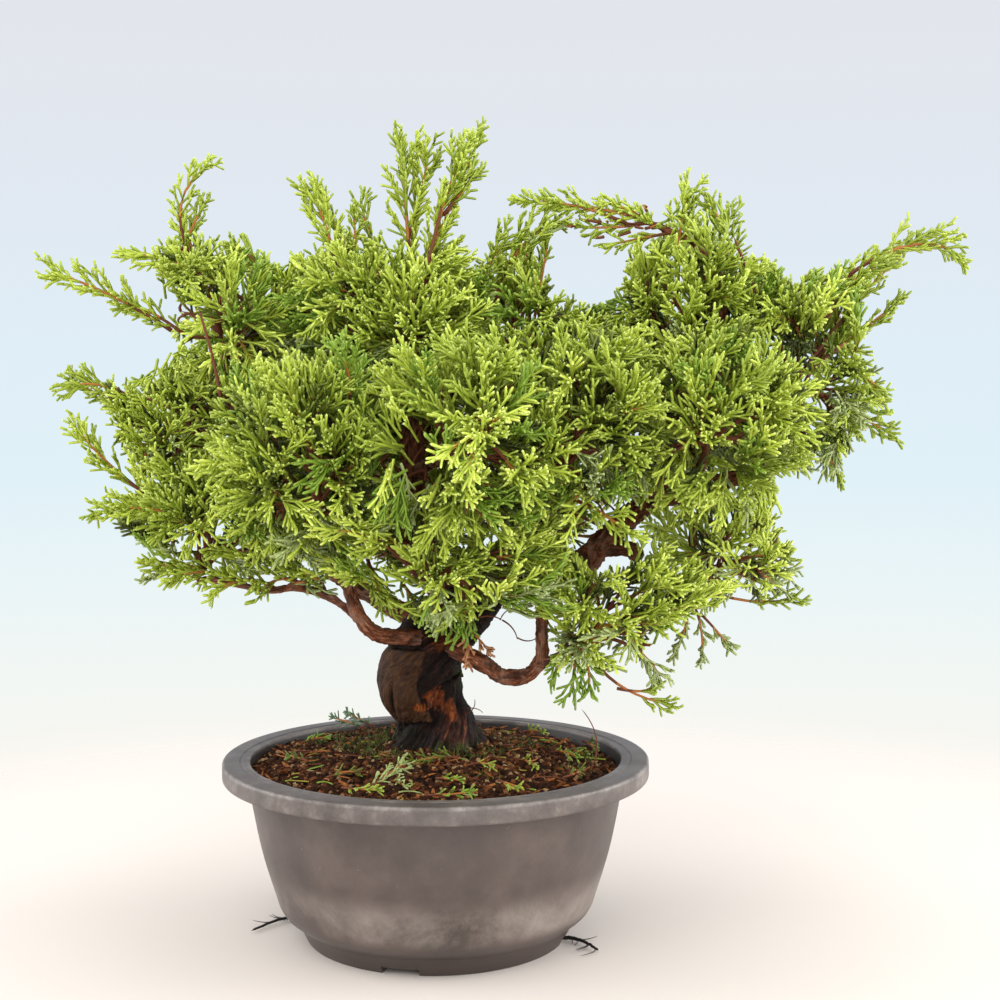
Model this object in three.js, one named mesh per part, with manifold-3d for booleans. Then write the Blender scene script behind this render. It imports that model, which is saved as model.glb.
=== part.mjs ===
// Itoigawa Chinese juniper bonsai in a round training pot. Millimetres, +Z up, the front looks
// along -Y. Everything is laid out round the pot's axis, and the whole group is then moved so
// that its origin is the middle of the bottom of its bounding box.
import * as THREE from 'three';
import { mergeVertices } from 'three/addons/utils/BufferGeometryUtils.js';
import Module from 'manifold-3d';

const wasm = await Module();
wasm.setup();

// Clearances
const GAP = 0.3;
const TWIG_CLEARANCE = 1.0;
const SPACE_MARGIN = 0.05;
const WELD = 1e-4;

// Pot
const RIM_RADIUS = 100;
const RIM_TOP = 84.6;
const RIM_HEIGHT = 8.3;
const RIM_WIDTH = 13;
const RIM_EDGE = 1.3;
const WALL = 3;
const WALL_STEPS = 4;
const INNER_WALL_STEPS = 2;
const WALL_TOP_RADIUS = 88.5;
const BELLY_RADIUS = 82;
const BELLY_HEIGHT = 43.3;
const LIP_RADIUS = 74.3;
const LIP_HEIGHT = 17.5;
const TURN_RADIUS = 72;
const TURN_HEIGHT = 13.6;
const HEEL_RADIUS = 66.6;
const HEEL_HEIGHT = 9.2;
const FOOT_RADIUS = 61.5;
const FOOT_TOP_RADIUS = 64.6;
const FOOT_HEIGHT = 8.4;
const FOOT_WALL = 5;
const FLOOR_UNDERSIDE = 3.6;
const POT_SIDES = 30;
const NOTCHES = 4;
const NOTCH_WIDTH = 17;
const NOTCH_HEIGHT = 2.3;
const FIRST_NOTCH_ANGLE = -103;
const DRAIN_HOLES = 4;
const DRAIN_RADIUS = 6;
const DRAIN_RING = 34;
const DRAIN_SIDES = 8;

// Soil
const SOIL_EDGE = 79.5;
const SOIL_EDGE_GAP = 0.4;
const SOIL_SHOULDER_RADIUS = 60;
const SOIL_SHOULDER = 84.25;
const SOIL_TOP = 87;
const SOIL_TABLE_RADIUS = 38;

// Trunk
const TRUNK_RADIUS = 18.2;
const TRUNK_TIP_RADIUS = 9.5;
const TRUNK_SIDES = 14;
const TRUNK_STEPS = 12;
const FLARE = 6.5;
const FLARE_HEIGHT = 7;
const FLARE_LOBES = 5;
const FLARE_LOBE_SHARE = 0.3;
const BULGE = 2.6;
const BULGE_HEIGHT = 120;
const BULGE_SPREAD = 11;
const BULGE_SKEW = 0.4;

// Limbs. START_SIDE is a direction that no path starts along.
const THICK_LIMB_RADIUS = 5;
const THICK_LIMB_SIDES = 7;
const LIMB_SIDES = 5;
const LIMB_SAMPLE_SPACING = 2;
const ROOT_SIDES = 5;
const ROOT_STEPS = 6;
const START_SIDE = [0.31, 0.95, 0.07];

// Foliage
const HUB_SHARE = 0.8;
const STEM_LEAD = 6;
const AREA_PER_LEADER = 145;
const LEADER_REACH = 1.06;
const SPRAY_REACH = 1.27;
const SHORTEST_LEADER = 6;
const LEADER_SPRAY_SHARE = 0.8;
const LEADER_BEND_SHARE = 0.55;
const LEADER_SAG = 2;
const SHORTER_REACHES = [1, 0.84, 0.7];
const SHOOT_TRIES = 6;
const SHOOT_SPRAY_SHARE = 0.66;
const CORE_SHARE = 0.7;
const CORE_ROUGHNESS = 0.2;
const CORE_STEP = 0.02;
const SPRAY_LENGTH = 36;
const SPRAY_WIDTH = 0.92;
const SPRAY_THICKNESS = 2.2;
const SIDE_SPRAY_SHARE = 0.8;
const SIDE_SPACING = 0.74;
const FIRST_SIDE_SPACING = 0.4;
const SIDE_TWIST = 1.6;
const SIDE_SUNK = 0.9;
const SPRAY_ANGLE = 50;
const SPRAY_LIFT = 0.12;
const SPRAY_MIDDLE = 0.45;
const PRONG_STAGGER = 0.06;
const STEM_RADIUS = 2.4;
const LEADER_RADIUS = 1.7;
const LEADER_TIP_RADIUS = 1.05;
const ROOT_SUNK = 3;
const GOLDEN_ANGLE = Math.PI * (3 - Math.sqrt(5));
const MASS_SEED = 1000;
const SHOOT_SEED = 500;
const CORE_SEED = 77;

// Outline of a spray as shares of its length along and across, from its root to its tip
const FIVE_PRONGS = [[0.28, 0.05], [0.6, 0.4], [0.57, 0.13], [0.87, 0.29], [0.78, 0.08]];
const THREE_PRONGS = [[0.3, 0.05], [0.78, 0.38], [0.66, 0.1]];

// The trunk rises from the soil, swells to the left and leans to the right up to its fork.
const TRUNK = {
  name: 'trunk',
  through: [[0, 12, 78], [-1, 12, 103], [-8, 10, 120], [-2, 8, 138], [12, 8, 151], [27, 12, 162]],
};

// Each limb leaves its parent at a share of the parent's length and runs through a few points.
// radii are at its root and its tip.
const LIMBS = [
  { name: 'right_bough', parent: 'trunk', at: 0.97, radii: [8, 3],
    through: [[50, 16, 167], [71, 16, 175], [83, 14, 188], [100, 12, 203], [120, 10, 210],
      [148, 6, 218], [170, 2, 236]] },
  { name: 'centre_leader', parent: 'trunk', at: 0.78, radii: [7.5, 4],
    through: [[-6, 15, 176], [-11, 5, 210], [-10, 0, 243], [-9, 0, 258]] },
  { name: 'left_bough', parent: 'trunk', at: 0.7, radii: [5.5, 2.6],
    through: [[-21, 22, 152], [-45, 28, 165], [-67, 25, 184], [-84, 18, 209], [-93, 8, 240],
      [-98, 2, 262]] },
  { name: 'left_front_bough', parent: 'trunk', at: 0.62, radii: [4, 2.2],
    through: [[-17, -14, 143], [-29, -20, 146], [-36, -24, 159], [-40, -28, 175], [-45, -40, 194],
      [-48, -48, 204]] },
  { name: 'low_right_bough', parent: 'trunk', at: 0.6, radii: [4.2, 3.2],
    through: [[20, -16, 132], [31, -22, 126], [43, -26, 127], [50, -28, 135]] },
  { name: 'centre_low_bough', parent: 'trunk', at: 0.68, radii: [3, 2],
    through: [[3, -24, 155], [4, -37, 165]] },
  { name: 'back_low_bough', parent: 'trunk', at: 0.85, radii: [3.4, 2.2],
    through: [[18, 30, 157], [19, 42, 165]] },
  { name: 'centre_front_bough', parent: 'centre_leader', at: 0.55, radii: [3.4, 2.2],
    through: [[-4, -24, 222], [6, -50, 227]] },
  { name: 'back_centre_bough', parent: 'centre_leader', at: 0.58, radii: [3.6, 2.4],
    through: [[-8, 26, 230], [-6, 48, 246]] },
  { name: 'centre_right_bough', parent: 'centre_leader', at: 0.76, radii: [3.4, 2.2],
    through: [[9, 5, 257], [28, 7, 268]] },
  { name: 'inner_left_bough', parent: 'centre_leader', at: 0.42, radii: [2.6, 1.9],
    through: [[-18, 8, 206], [-26, 7, 213]] },
  { name: 'inner_right_bough', parent: 'centre_leader', at: 0.46, radii: [2.8, 1.9],
    through: [[6, 5, 206], [20, 3, 213]] },
  { name: 'back_left_bough', parent: 'left_bough', at: 0.5, radii: [3.2, 2.2],
    through: [[-74, 38, 200], [-79, 50, 218]] },
  { name: 'left_mid_bough', parent: 'left_bough', at: 0.66, radii: [2.6, 1.9],
    through: [[-97, 14, 221], [-106, 12, 228]] },
  { name: 'left_low_bough', parent: 'left_front_bough', at: 0.32, radii: [2.1, 1.5],
    through: [[-44, -20, 160], [-62, -18, 166], [-79, -16, 165], [-106, -15, 170]] },
  { name: 'low_right_riser', parent: 'low_right_bough', at: 0.97, radii: [3.1, 1.9],
    through: [[49, -30, 154], [48, -32, 167], [48, -38, 190], [53, -45, 215]] },
  { name: 'low_right_shoot', parent: 'low_right_bough', at: 0.9, radii: [2.6, 1.8],
    through: [[56, -32, 136], [62, -35, 139]] },
  { name: 'right_top_bough', parent: 'right_bough', at: 0.62, radii: [3.8, 2.4],
    through: [[109, 8, 228], [114, 3, 261]] },
  { name: 'arching_bough', parent: 'right_top_bough', at: 0.62, radii: [2.2, 1.5],
    through: [[129, -4, 272], [132, -8, 302], [121, -8, 322], [104, -8, 331]] },
  { name: 'right_front_bough', parent: 'right_bough', at: 0.72, radii: [3, 2],
    through: [[121, -8, 217], [122, -20, 224]] },
  { name: 'right_low_bough', parent: 'right_bough', at: 0.68, radii: [2.4, 1.6],
    through: [[121, 6, 190], [120, 2, 178], [126, 0, 170]] },
  { name: 'back_right_bough', parent: 'right_bough', at: 0.6, radii: [3.4, 2.2],
    through: [[102, 32, 214], [102, 46, 230]] },
  { name: 'cut_stub', parent: 'right_bough', at: 0.36, radii: [4.2, 3.4],
    through: [[92, 7, 181], [95, 4, 179]] },
];

// Each mass of foliage is an ellipsoid of space round the tip of its bough. shoots are the ends
// of the long shoots that stand out of it, each with how far it arches up on its way.
const MASSES = [
  { name: 'left_top_foliage', bough: 'left_bough', centre: [-100, 0, 289], radii: [50, 46, 45],
    shoots: [[-101, 0, 362, 0], [-182, 0, 312, -10], [-138, -8, 322, 0], [-118, 4, 336, 0]] },
  { name: 'left_middle_foliage', bough: 'left_mid_bough', centre: [-121, 6, 240],
    radii: [45, 42, 34], shoots: [[-173, 8, 262, -3], [-172, 0, 243, -4]] },
  { name: 'left_low_foliage', bough: 'left_low_bough', centre: [-100, -14, 196],
    radii: [60, 44, 37], shoots: [[-150, -15, 199, -3], [-133, -15, 170, 0]] },
  { name: 'front_left_foliage', bough: 'left_front_bough', centre: [-50, -66, 224],
    radii: [44, 42, 48], shoots: [] },
  { name: 'top_centre_foliage', bough: 'centre_leader', centre: [-22, 0, 289],
    radii: [55, 52, 48], shoots: [[-57, 0, 351, 0], [-20, 0, 371, 0], [-8, 3, 368, 4],
      [21, 0, 374, -3], [-35, 5, 345, 0]] },
  { name: 'front_centre_foliage', bough: 'centre_front_bough', centre: [14, -82, 232],
    radii: [44, 40, 44], shoots: [] },
  { name: 'front_low_foliage', bough: 'centre_low_bough', centre: [4, -56, 182],
    radii: [58, 40, 35], shoots: [] },
  { name: 'centre_right_foliage', bough: 'centre_right_bough', centre: [47, 6, 275],
    radii: [47, 48, 44], shoots: [[54, 14, 334, 0], [42, 12, 327, 0]] },
  { name: 'arching_foliage', bough: 'arching_bough', centre: [84, -10, 333], core: 0.34,
    radii: [36, 15, 13], shoots: [[39, -8, 343, 5], [54, -10, 342, 3]] },
  { name: 'front_right_foliage', bough: 'low_right_riser', centre: [66, -60, 238],
    radii: [41, 42, 43], shoots: [] },
  { name: 'low_right_foliage', bough: 'low_right_shoot', centre: [83, -41, 160],
    radii: [42, 36, 37], shoots: [[65, -45, 119, 0], [105, -45, 117, 4]] },
  { name: 'right_top_foliage', bough: 'right_top_bough', centre: [120, 0, 294],
    radii: [49, 46, 47], shoots: [[121, 0, 352, 0], [138, 0, 339, 0]] },
  { name: 'right_front_foliage', bough: 'right_front_bough', centre: [123, -48, 240],
    radii: [44, 42, 43], shoots: [] },
  { name: 'right_far_foliage', bough: 'right_bough', centre: [167, 0, 267], radii: [52, 48, 55],
    shoots: [[244, 0, 326, 10], [226, 2, 328, 8], [216, 0, 298, 0], [213, 0, 236, 0],
      [192, 0, 208, 0]] },
  { name: 'right_low_foliage', bough: 'right_low_bough', centre: [141, -5, 182],
    radii: [38, 37, 34], shoots: [[171, 0, 159, 0], [134, -5, 135, 0]] },
  { name: 'inner_left_foliage', bough: 'inner_left_bough', centre: [-42, 6, 222],
    radii: [36, 40, 36], shoots: [] },
  { name: 'inner_right_foliage', bough: 'inner_right_bough', centre: [42, 0, 222],
    radii: [36, 38, 32], shoots: [] },
  { name: 'back_left_foliage', bough: 'back_left_bough', centre: [-82, 64, 246],
    radii: [60, 46, 56], shoots: [] },
  { name: 'back_centre_foliage', bough: 'back_centre_bough', centre: [-8, 78, 260],
    radii: [54, 48, 60], shoots: [] },
  { name: 'back_right_foliage', bough: 'back_right_bough', centre: [106, 66, 244],
    radii: [62, 48, 54], shoots: [] },
  { name: 'back_low_foliage', bough: 'back_low_bough', centre: [20, 62, 186],
    radii: [58, 44, 33], shoots: [] },
];

// Roots that have found their way out of the notches in the foot and lie beside it
const STRAY_ROOTS = [
  { name: 'left_root', radii: [0.9, 1.5, 0.7],
    through: [[-57, 13, 1.2], [-66, 15, 1.4], [-76, 12, 1.8], [-88, -4, 1.2]] },
  { name: 'right_root', radii: [0.9, 1.3, 0.6],
    through: [[56, -13, 1.2], [65, -16, 1.4], [71, -24, 1.6], [75, -31, 1.1]] },
];

const MATERIALS = {
  pot: { color: 0x5a5654, roughness: 0.62 },
  soil: { color: 0x33221a, roughness: 0.95 },
  trunk: { color: 0x3f2c21, roughness: 0.85 },
  limb: { color: 0x5d3a2c, roughness: 0.85 },
  root: { color: 0x17120f, roughness: 0.9 },
  foliage: { color: 0x6f9a35, roughness: 0.7 },
};

const vector = (point) => new THREE.Vector3(...point);
const radians = THREE.MathUtils.degToRad;

// Solids
function toSolid(geometry) {
  const bare = geometry.clone();
  bare.deleteAttribute('normal');
  bare.deleteAttribute('uv');
  const merged = mergeVertices(bare, WELD);
  const triVerts = new Uint32Array(merged.index.array);
  const vertProperties = new Float32Array(merged.attributes.position.array);
  return new wasm.Manifold(new wasm.Mesh({ numProp: 3, vertProperties, triVerts }));
}

function toGeometry(solid) {
  const mesh = solid.getMesh();
  const geometry = new THREE.BufferGeometry();
  geometry.setAttribute('position', new THREE.BufferAttribute(mesh.vertProperties, 3));
  geometry.setIndex(new THREE.BufferAttribute(mesh.triVerts, 1));
  geometry.computeVertexNormals();
  return geometry;
}

function largestBody(solid) {
  return solid.decompose().sort((a, b) => b.volume() - a.volume())[0];
}

function boxesMeet(a, b) {
  const first = a.boundingBox();
  const second = b.boundingBox();
  return [0, 1, 2].every((i) => first.min[i] < second.max[i] && second.min[i] < first.max[i]);
}

function cutClear(solid, cutters) {
  const near = cutters.filter((cutter) => boxesMeet(solid, cutter));
  return largestBody(near.reduce((rest, cutter) => rest.subtract(cutter), solid));
}

function named(name, kind, solid) {
  const material = new THREE.MeshStandardMaterial({ ...MATERIALS[kind], metalness: 0 });
  const mesh = new THREE.Mesh(toGeometry(solid), material);
  mesh.name = name;
  return mesh;
}

// Seeded chance, the same draws for the same seed
function seeded(seed) {
  let state = seed >>> 0;
  return () => {
    state = (state + 0x6d2b79f5) >>> 0;
    let mixed = Math.imul(state ^ (state >>> 15), state | 1);
    mixed ^= mixed + Math.imul(mixed ^ (mixed >>> 7), mixed | 61);
    return ((mixed ^ (mixed >>> 14)) >>> 0) / 2 ** 32;
  };
}

// A cylinder bent along a path. radiusAt gives the radius at a share of the length and an angle.
function bentCylinder(path, radiusAt, sides, steps, overhang = 0) {
  const geometry = new THREE.CylinderGeometry(1, 1, 1, sides, steps);
  const place = geometry.attributes.position;
  const frames = [];
  let side = vector(START_SIDE);
  for (let step = 0; step <= steps; step++) {
    const along = path.getTangent(step / steps);
    side = side.clone().addScaledVector(along, -side.dot(along)).normalize();
    const end = step === 0 ? -overhang : step === steps ? overhang : 0;
    const middle = path.getPoint(step / steps).addScaledVector(along, end);
    frames.push({ middle, side, across: new THREE.Vector3().crossVectors(side, along) });
  }
  for (let i = 0; i < place.count; i++) {
    const share = place.getY(i) + 0.5;
    const { middle, side: out, across } = frames[Math.round(share * steps)];
    const angle = Math.atan2(place.getZ(i), place.getX(i));
    const radius = radiusAt(share, angle);
    const point = middle.clone().addScaledVector(out, place.getX(i) * radius);
    point.addScaledVector(across, place.getZ(i) * radius);
    place.setXYZ(i, ...point);
  }
  return toSolid(geometry);
}

// Pot, a turned profile with notches in the foot and drain holes in the floor
function turned(profile) {
  const points = profile.map(([radius, height]) => new THREE.Vector2(radius, height));
  return toSolid(new THREE.LatheGeometry(points, POT_SIDES).rotateX(Math.PI / 2));
}

function wallProfile(inset, steps) {
  const curve = new THREE.SplineCurve([
    new THREE.Vector2(LIP_RADIUS - inset, LIP_HEIGHT),
    new THREE.Vector2(BELLY_RADIUS - inset, BELLY_HEIGHT),
    new THREE.Vector2(WALL_TOP_RADIUS - inset, RIM_TOP - RIM_HEIGHT),
  ]);
  return curve.getPoints(steps).map((point) => [point.x, point.y]);
}

function makePot() {
  const insideRim = RIM_RADIUS - RIM_WIDTH;
  const rimBottom = RIM_TOP - RIM_HEIGHT;
  const floorTop = FLOOR_UNDERSIDE + WALL;
  let pot = turned([
    [0, FLOOR_UNDERSIDE],
    [FOOT_RADIUS - FOOT_WALL, FLOOR_UNDERSIDE],
    [FOOT_RADIUS - FOOT_WALL, 0],
    [FOOT_RADIUS, 0],
    [FOOT_TOP_RADIUS, FOOT_HEIGHT],
    [HEEL_RADIUS, HEEL_HEIGHT],
    [TURN_RADIUS, TURN_HEIGHT],
    ...wallProfile(0, WALL_STEPS),
    [RIM_RADIUS, rimBottom],
    [RIM_RADIUS, RIM_TOP - RIM_EDGE],
    [RIM_RADIUS - RIM_EDGE, RIM_TOP],
    [insideRim, RIM_TOP],
    ...wallProfile(WALL, INNER_WALL_STEPS).reverse(),
    [FOOT_TOP_RADIUS - WALL, floorTop],
    [0, floorTop],
  ]);
  for (let i = 0; i < NOTCHES; i++) {
    const angle = radians(FIRST_NOTCH_ANGLE + (i * 360) / NOTCHES);
    const notch = new THREE.BoxGeometry(3 * FOOT_WALL, NOTCH_WIDTH, 2 * NOTCH_HEIGHT);
    notch.translate(FOOT_RADIUS - FOOT_WALL / 2, 0, 0).rotateZ(angle);
    pot = pot.subtract(toSolid(notch));
  }
  for (let i = 0; i <= DRAIN_HOLES; i++) {
    const hole = new THREE.CylinderGeometry(DRAIN_RADIUS, DRAIN_RADIUS, 4 * WALL, DRAIN_SIDES);
    const angle = radians(FIRST_NOTCH_ANGLE + ((i + 0.5) * 360) / DRAIN_HOLES);
    const ring = i < DRAIN_HOLES ? DRAIN_RING : 0;
    hole.rotateX(Math.PI / 2).translate(ring * Math.cos(angle), ring * Math.sin(angle), floorTop);
    pot = pot.subtract(toSolid(hole));
  }
  return pot;
}

function makeSoil() {
  const bottom = FLOOR_UNDERSIDE + WALL + GAP;
  const insideWall = wallProfile(WALL + GAP, INNER_WALL_STEPS);
  const walls = insideWall.filter(([, height]) => height < SOIL_EDGE);
  return turned([
    [0, bottom],
    [FOOT_TOP_RADIUS - WALL - GAP, bottom],
    ...walls,
    [WALL_TOP_RADIUS - WALL - GAP - SOIL_EDGE_GAP, SOIL_EDGE],
    [SOIL_SHOULDER_RADIUS, SOIL_SHOULDER],
    [SOIL_TABLE_RADIUS, SOIL_TOP],
    [0, SOIL_TOP],
  ]);
}

// Trunk and limbs
const limbs = new Map();

function makeTrunk() {
  const path = new THREE.CatmullRomCurve3(TRUNK.through.map(vector), false, 'catmullrom');
  const radiusAt = (share, angle) => {
    const height = path.getPoint(share).z;
    const over = Math.max(0, height - SOIL_TOP);
    const taper = THREE.MathUtils.lerp(TRUNK_RADIUS, TRUNK_TIP_RADIUS, share ** 3);
    const lobes = 1 + FLARE_LOBE_SHARE * Math.cos(FLARE_LOBES * angle);
    const flare = FLARE * Math.exp(-over / FLARE_HEIGHT) * lobes;
    const bulge = BULGE * Math.exp(-(((height - BULGE_HEIGHT) / BULGE_SPREAD) ** 2));
    return taper + flare + bulge * (1 + BULGE_SKEW * Math.sin(2 * angle));
  };
  const wood = bentCylinder(path, radiusAt, TRUNK_SIDES, TRUNK_STEPS);
  const reach = 4 * TRUNK_RADIUS;
  const under = new THREE.BoxGeometry(reach, reach, reach);
  const [footX, footY] = TRUNK.through[0];
  under.translate(footX, footY, SOIL_TOP + GAP - reach / 2);
  const wider = (share, angle) => radiusAt(share, angle) + GAP;
  const cutter = bentCylinder(path, wider, TRUNK_SIDES, TRUNK_STEPS, GAP);
  limbs.set(TRUNK.name, { path, radii: [TRUNK_RADIUS, TRUNK_TIP_RADIUS], cutter });
  return wood.subtract(toSolid(under));
}

function makeLimb({ name, parent, at, radii, through }) {
  const start = limbs.get(parent).path.getPoint(at);
  const path = new THREE.CatmullRomCurve3([start, ...through.map(vector)], false, 'catmullrom');
  const thick = radii[0] > THICK_LIMB_RADIUS;
  const sides = thick ? THICK_LIMB_SIDES : LIMB_SIDES;
  const steps = thick ? 2 * through.length : through.length + 2;
  const grown = (extra) => (share) => THREE.MathUtils.lerp(radii[0], radii[1], share) + extra;
  const others = [...limbs.values()].map((limb) => limb.cutter);
  const wood = cutClear(bentCylinder(path, grown(0), sides, steps), others);
  const cutter = bentCylinder(path, grown(GAP), sides, steps, GAP);
  limbs.set(name, { path, radii, cutter });
  return wood;
}

// Space of a mass: nearer to its own ellipsoid than to any other, and clear of every limb
function ratio(mass, point) {
  const [x, y, z] = ['x', 'y', 'z'].map((axis, i) => (point[axis] - mass.centre[i]) / mass.radii[i]);
  return Math.hypot(x, y, z);
}

function ownSpace(mass, point) {
  const own = ratio(mass, point) + SPACE_MARGIN;
  return MASSES.every((other) => other === mass || own < ratio(other, point));
}

function limbSamples() {
  const samples = [];
  for (const { path, radii } of limbs.values()) {
    const length = path.getLength();
    const count = Math.ceil(length / LIMB_SAMPLE_SPACING);
    for (let i = 0; i <= count; i++) {
      const radius = THREE.MathUtils.lerp(radii[0], radii[1], i / count) + TWIG_CLEARANCE;
      samples.push({ point: path.getPoint(i / count), radius });
    }
  }
  return samples;
}

function clearOfLimbs(from, to, samples) {
  const line = new THREE.Line3(from, to);
  const near = new THREE.Vector3();
  return samples.every(({ point, radius }) => {
    line.closestPointToPoint(point, true, near);
    return near.distanceTo(point) > radius;
  });
}

// A spray is a thin toothed blade: a ring of outline points between two shallow peaks.
function makeSpray(root, along, upward, length, prongs) {
  const across = new THREE.Vector3().crossVectors(along, upward).normalize();
  const out = new THREE.Vector3().crossVectors(across, along).normalize();
  const at = (share, side, rise) => root.clone()
    .addScaledVector(along, share * length)
    .addScaledVector(across, side * length * SPRAY_WIDTH)
    .addScaledVector(out, rise + SPRAY_LIFT * length * share * share);
  const right = prongs.map(([share, side]) => at(share + PRONG_STAGGER, side, 0));
  const left = prongs.map(([share, side]) => at(share, -side, 0)).reverse();
  const ring = [at(0, 0, 0), ...right, at(1 + PRONG_STAGGER, 0, 0), ...left];
  const half = SPRAY_THICKNESS / 2;
  const points = [...ring, at(SPRAY_MIDDLE, 0, half), at(SPRAY_MIDDLE, 0, -half)];
  const faces = [];
  for (let i = 0; i < ring.length; i++) {
    const next = (i + 1) % ring.length;
    faces.push(i, next, ring.length);
    faces.push(next, i, ring.length + 1);
  }
  const geometry = new THREE.BufferGeometry().setFromPoints(points);
  geometry.setIndex(faces);
  return { solid: toSolid(geometry), ring };
}

// A mass grows from one stem: leaders fan out of it by the golden angle, and each carries a
// spray at its end and more on alternate sides.
function makeMass(mass, seed, samples) {
  const centre = vector(mass.centre);
  const bough = limbs.get(mass.bough);
  const onward = bough.path.getTangent(1);
  const foot = bough.path.getPoint(1).addScaledVector(onward, GAP);
  const hub = foot.clone().lerp(centre, HUB_SHARE);
  const lead = foot.clone().addScaledVector(onward, STEM_LEAD);
  const stem = new THREE.QuadraticBezierCurve3(foot, lead, hub);
  const footRadius = bough.radii[1];
  const stemRadius = (share) => THREE.MathUtils.lerp(footRadius, STEM_RADIUS, share);
  const pieces = [bentCylinder(stem, stemRadius, 4, 2)];
  pieces.push(makeCore(mass, seed));

  const fits = (points, reach) => points.every((point) => {
    return ratio(mass, point) < reach && ownSpace(mass, point);
  });
  const growSpray = (root, along, length, prongs, chance, reach) => {
    const facing = new THREE.Vector3(chance() - 0.5, chance() - 0.5, chance() - 0.3).normalize();
    const { solid, ring } = makeSpray(root, along, facing, length, prongs);
    const open = ring.every((point) => clearOfLimbs(root, point, samples));
    if (!open || !fits(ring, reach)) return false;
    pieces.push(solid);
    return true;
  };
  const growLeader = (tip, arch, chance, reach, size, prongs) => {
    const whole = tip.clone().sub(hub);
    const bare = Math.max(whole.length() - LEADER_SPRAY_SHARE * size, SHORTEST_LEADER);
    const end = hub.clone().addScaledVector(whole.clone().normalize(), bare);
    const bend = hub.clone().lerp(end, LEADER_BEND_SHARE);
    bend.z += arch;
    const path = new THREE.QuadraticBezierCurve3(hub, bend, end);
    const middle = path.getPoint(0.5);
    const open = clearOfLimbs(hub, middle, samples) && clearOfLimbs(middle, end, samples);
    if (!open || !fits([middle, end], reach)) return false;
    const heading = path.getTangent(1);
    const root = end.clone().addScaledVector(heading, -ROOT_SUNK);
    if (!growSpray(root, heading, size, prongs, chance, reach)) return false;
    const radiusAt = (share) => THREE.MathUtils.lerp(LEADER_RADIUS, LEADER_TIP_RADIUS, share);
    pieces.push(bentCylinder(path, radiusAt, 3, 2));

    const length = path.getLength();
    const spacing = SIDE_SPACING * size;
    const count = Math.floor((length - CORE_SHARE * Math.min(...mass.radii)) / spacing);
    for (let k = 0; k < count; k++) {
      const share = 1 - ((k + FIRST_SIDE_SPACING) * spacing) / length;
      const along = path.getTangent(share);
      const side = new THREE.Vector3().crossVectors(along, vector([0, 0, 1])).normalize();
      side.applyAxisAngle(along, k * Math.PI + (chance() - 0.5) * SIDE_TWIST);
      const sideways = along.clone().multiplyScalar(Math.cos(radians(SPRAY_ANGLE)));
      sideways.addScaledVector(side, Math.sin(radians(SPRAY_ANGLE)));
      const sunk = path.getPoint(share).addScaledVector(sideways, -SIDE_SUNK);
      growSpray(sunk, sideways, SIDE_SPRAY_SHARE * size, THREE_PRONGS, chance, reach);
    }
    return true;
  };

  const [rx, ry, rz] = mass.radii;
  const leaders = Math.round((rx * ry + ry * rz + rz * rx) / 3 / AREA_PER_LEADER);
  for (let i = 0; i < leaders; i++) {
    const chance = seeded(seed * MASS_SEED + i);
    const height = 1 - (2 * (i + 0.5)) / leaders;
    const turn = i * GOLDEN_ANGLE + seed;
    const flat = Math.sqrt(1 - height * height);
    const direction = new THREE.Vector3(flat * Math.cos(turn), flat * Math.sin(turn), height);
    const outward = direction.multiply(vector(mass.radii)).multiplyScalar(LEADER_REACH);
    SHORTER_REACHES.some((share) => {
      const tip = centre.clone().addScaledVector(outward, share);
      const size = share * SPRAY_LENGTH;
      return growLeader(tip, -LEADER_SAG, chance, SPRAY_REACH, size, THREE_PRONGS);
    });
  }
  mass.shoots.forEach(([x, y, z, arch], i) => {
    const chance = seeded(seed * MASS_SEED + SHOOT_SEED + i);
    const tip = new THREE.Vector3(x, y, z);
    const size = SHOOT_SPRAY_SHARE * SPRAY_LENGTH;
    let tries = SHOOT_TRIES;
    while (tries > 0 && !growLeader(tip, arch, chance, Infinity, size, FIVE_PRONGS)) tries -= 1;
  });
  const cutters = [...limbs.values()].map((limb) => limb.cutter);
  return cutClear(wasm.Manifold.union(pieces), cutters);
}

// The dense heart of a mass, a lumpy ball that keeps to its own space
function makeCore(mass, seed) {
  const chance = seeded(seed * CORE_SEED);
  const ball = mergeVertices(bareIcosahedron(), WELD);
  const place = ball.attributes.position;
  for (let i = 0; i < place.count; i++) {
    const outward = new THREE.Vector3().fromBufferAttribute(place, i).multiply(vector(mass.radii));
    let share = (mass.core ?? CORE_SHARE) * (1 + CORE_ROUGHNESS * (2 * chance() - 1));
    const at = () => vector(mass.centre).addScaledVector(outward, share);
    while (!ownSpace(mass, at())) share -= CORE_STEP;
    place.setXYZ(i, ...at());
  }
  return toSolid(ball);
}

function bareIcosahedron() {
  const ball = new THREE.IcosahedronGeometry(1, 1);
  ball.deleteAttribute('normal');
  ball.deleteAttribute('uv');
  return ball;
}

function makeRoot({ radii, through }) {
  const path = new THREE.CatmullRomCurve3(through.map(vector), false, 'catmullrom');
  const [first, middle, last] = radii;
  const radiusAt = (share) => share < 0.5
    ? THREE.MathUtils.lerp(first, middle, 2 * share)
    : THREE.MathUtils.lerp(middle, last, 2 * share - 1);
  return bentCylinder(path, radiusAt, ROOT_SIDES, ROOT_STEPS);
}

// The whole plant
const bonsai = new THREE.Group();
bonsai.add(named('pot', 'pot', makePot()));
bonsai.add(named('soil', 'soil', makeSoil()));
bonsai.add(named(TRUNK.name, 'trunk', makeTrunk()));
LIMBS.forEach((limb) => bonsai.add(named(limb.name, 'limb', makeLimb(limb))));
const samples = limbSamples();
MASSES.forEach((mass, i) => {
  bonsai.add(named(mass.name, 'foliage', makeMass(mass, i + 1, samples)));
});
STRAY_ROOTS.forEach((root) => bonsai.add(named(root.name, 'root', makeRoot(root))));

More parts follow.
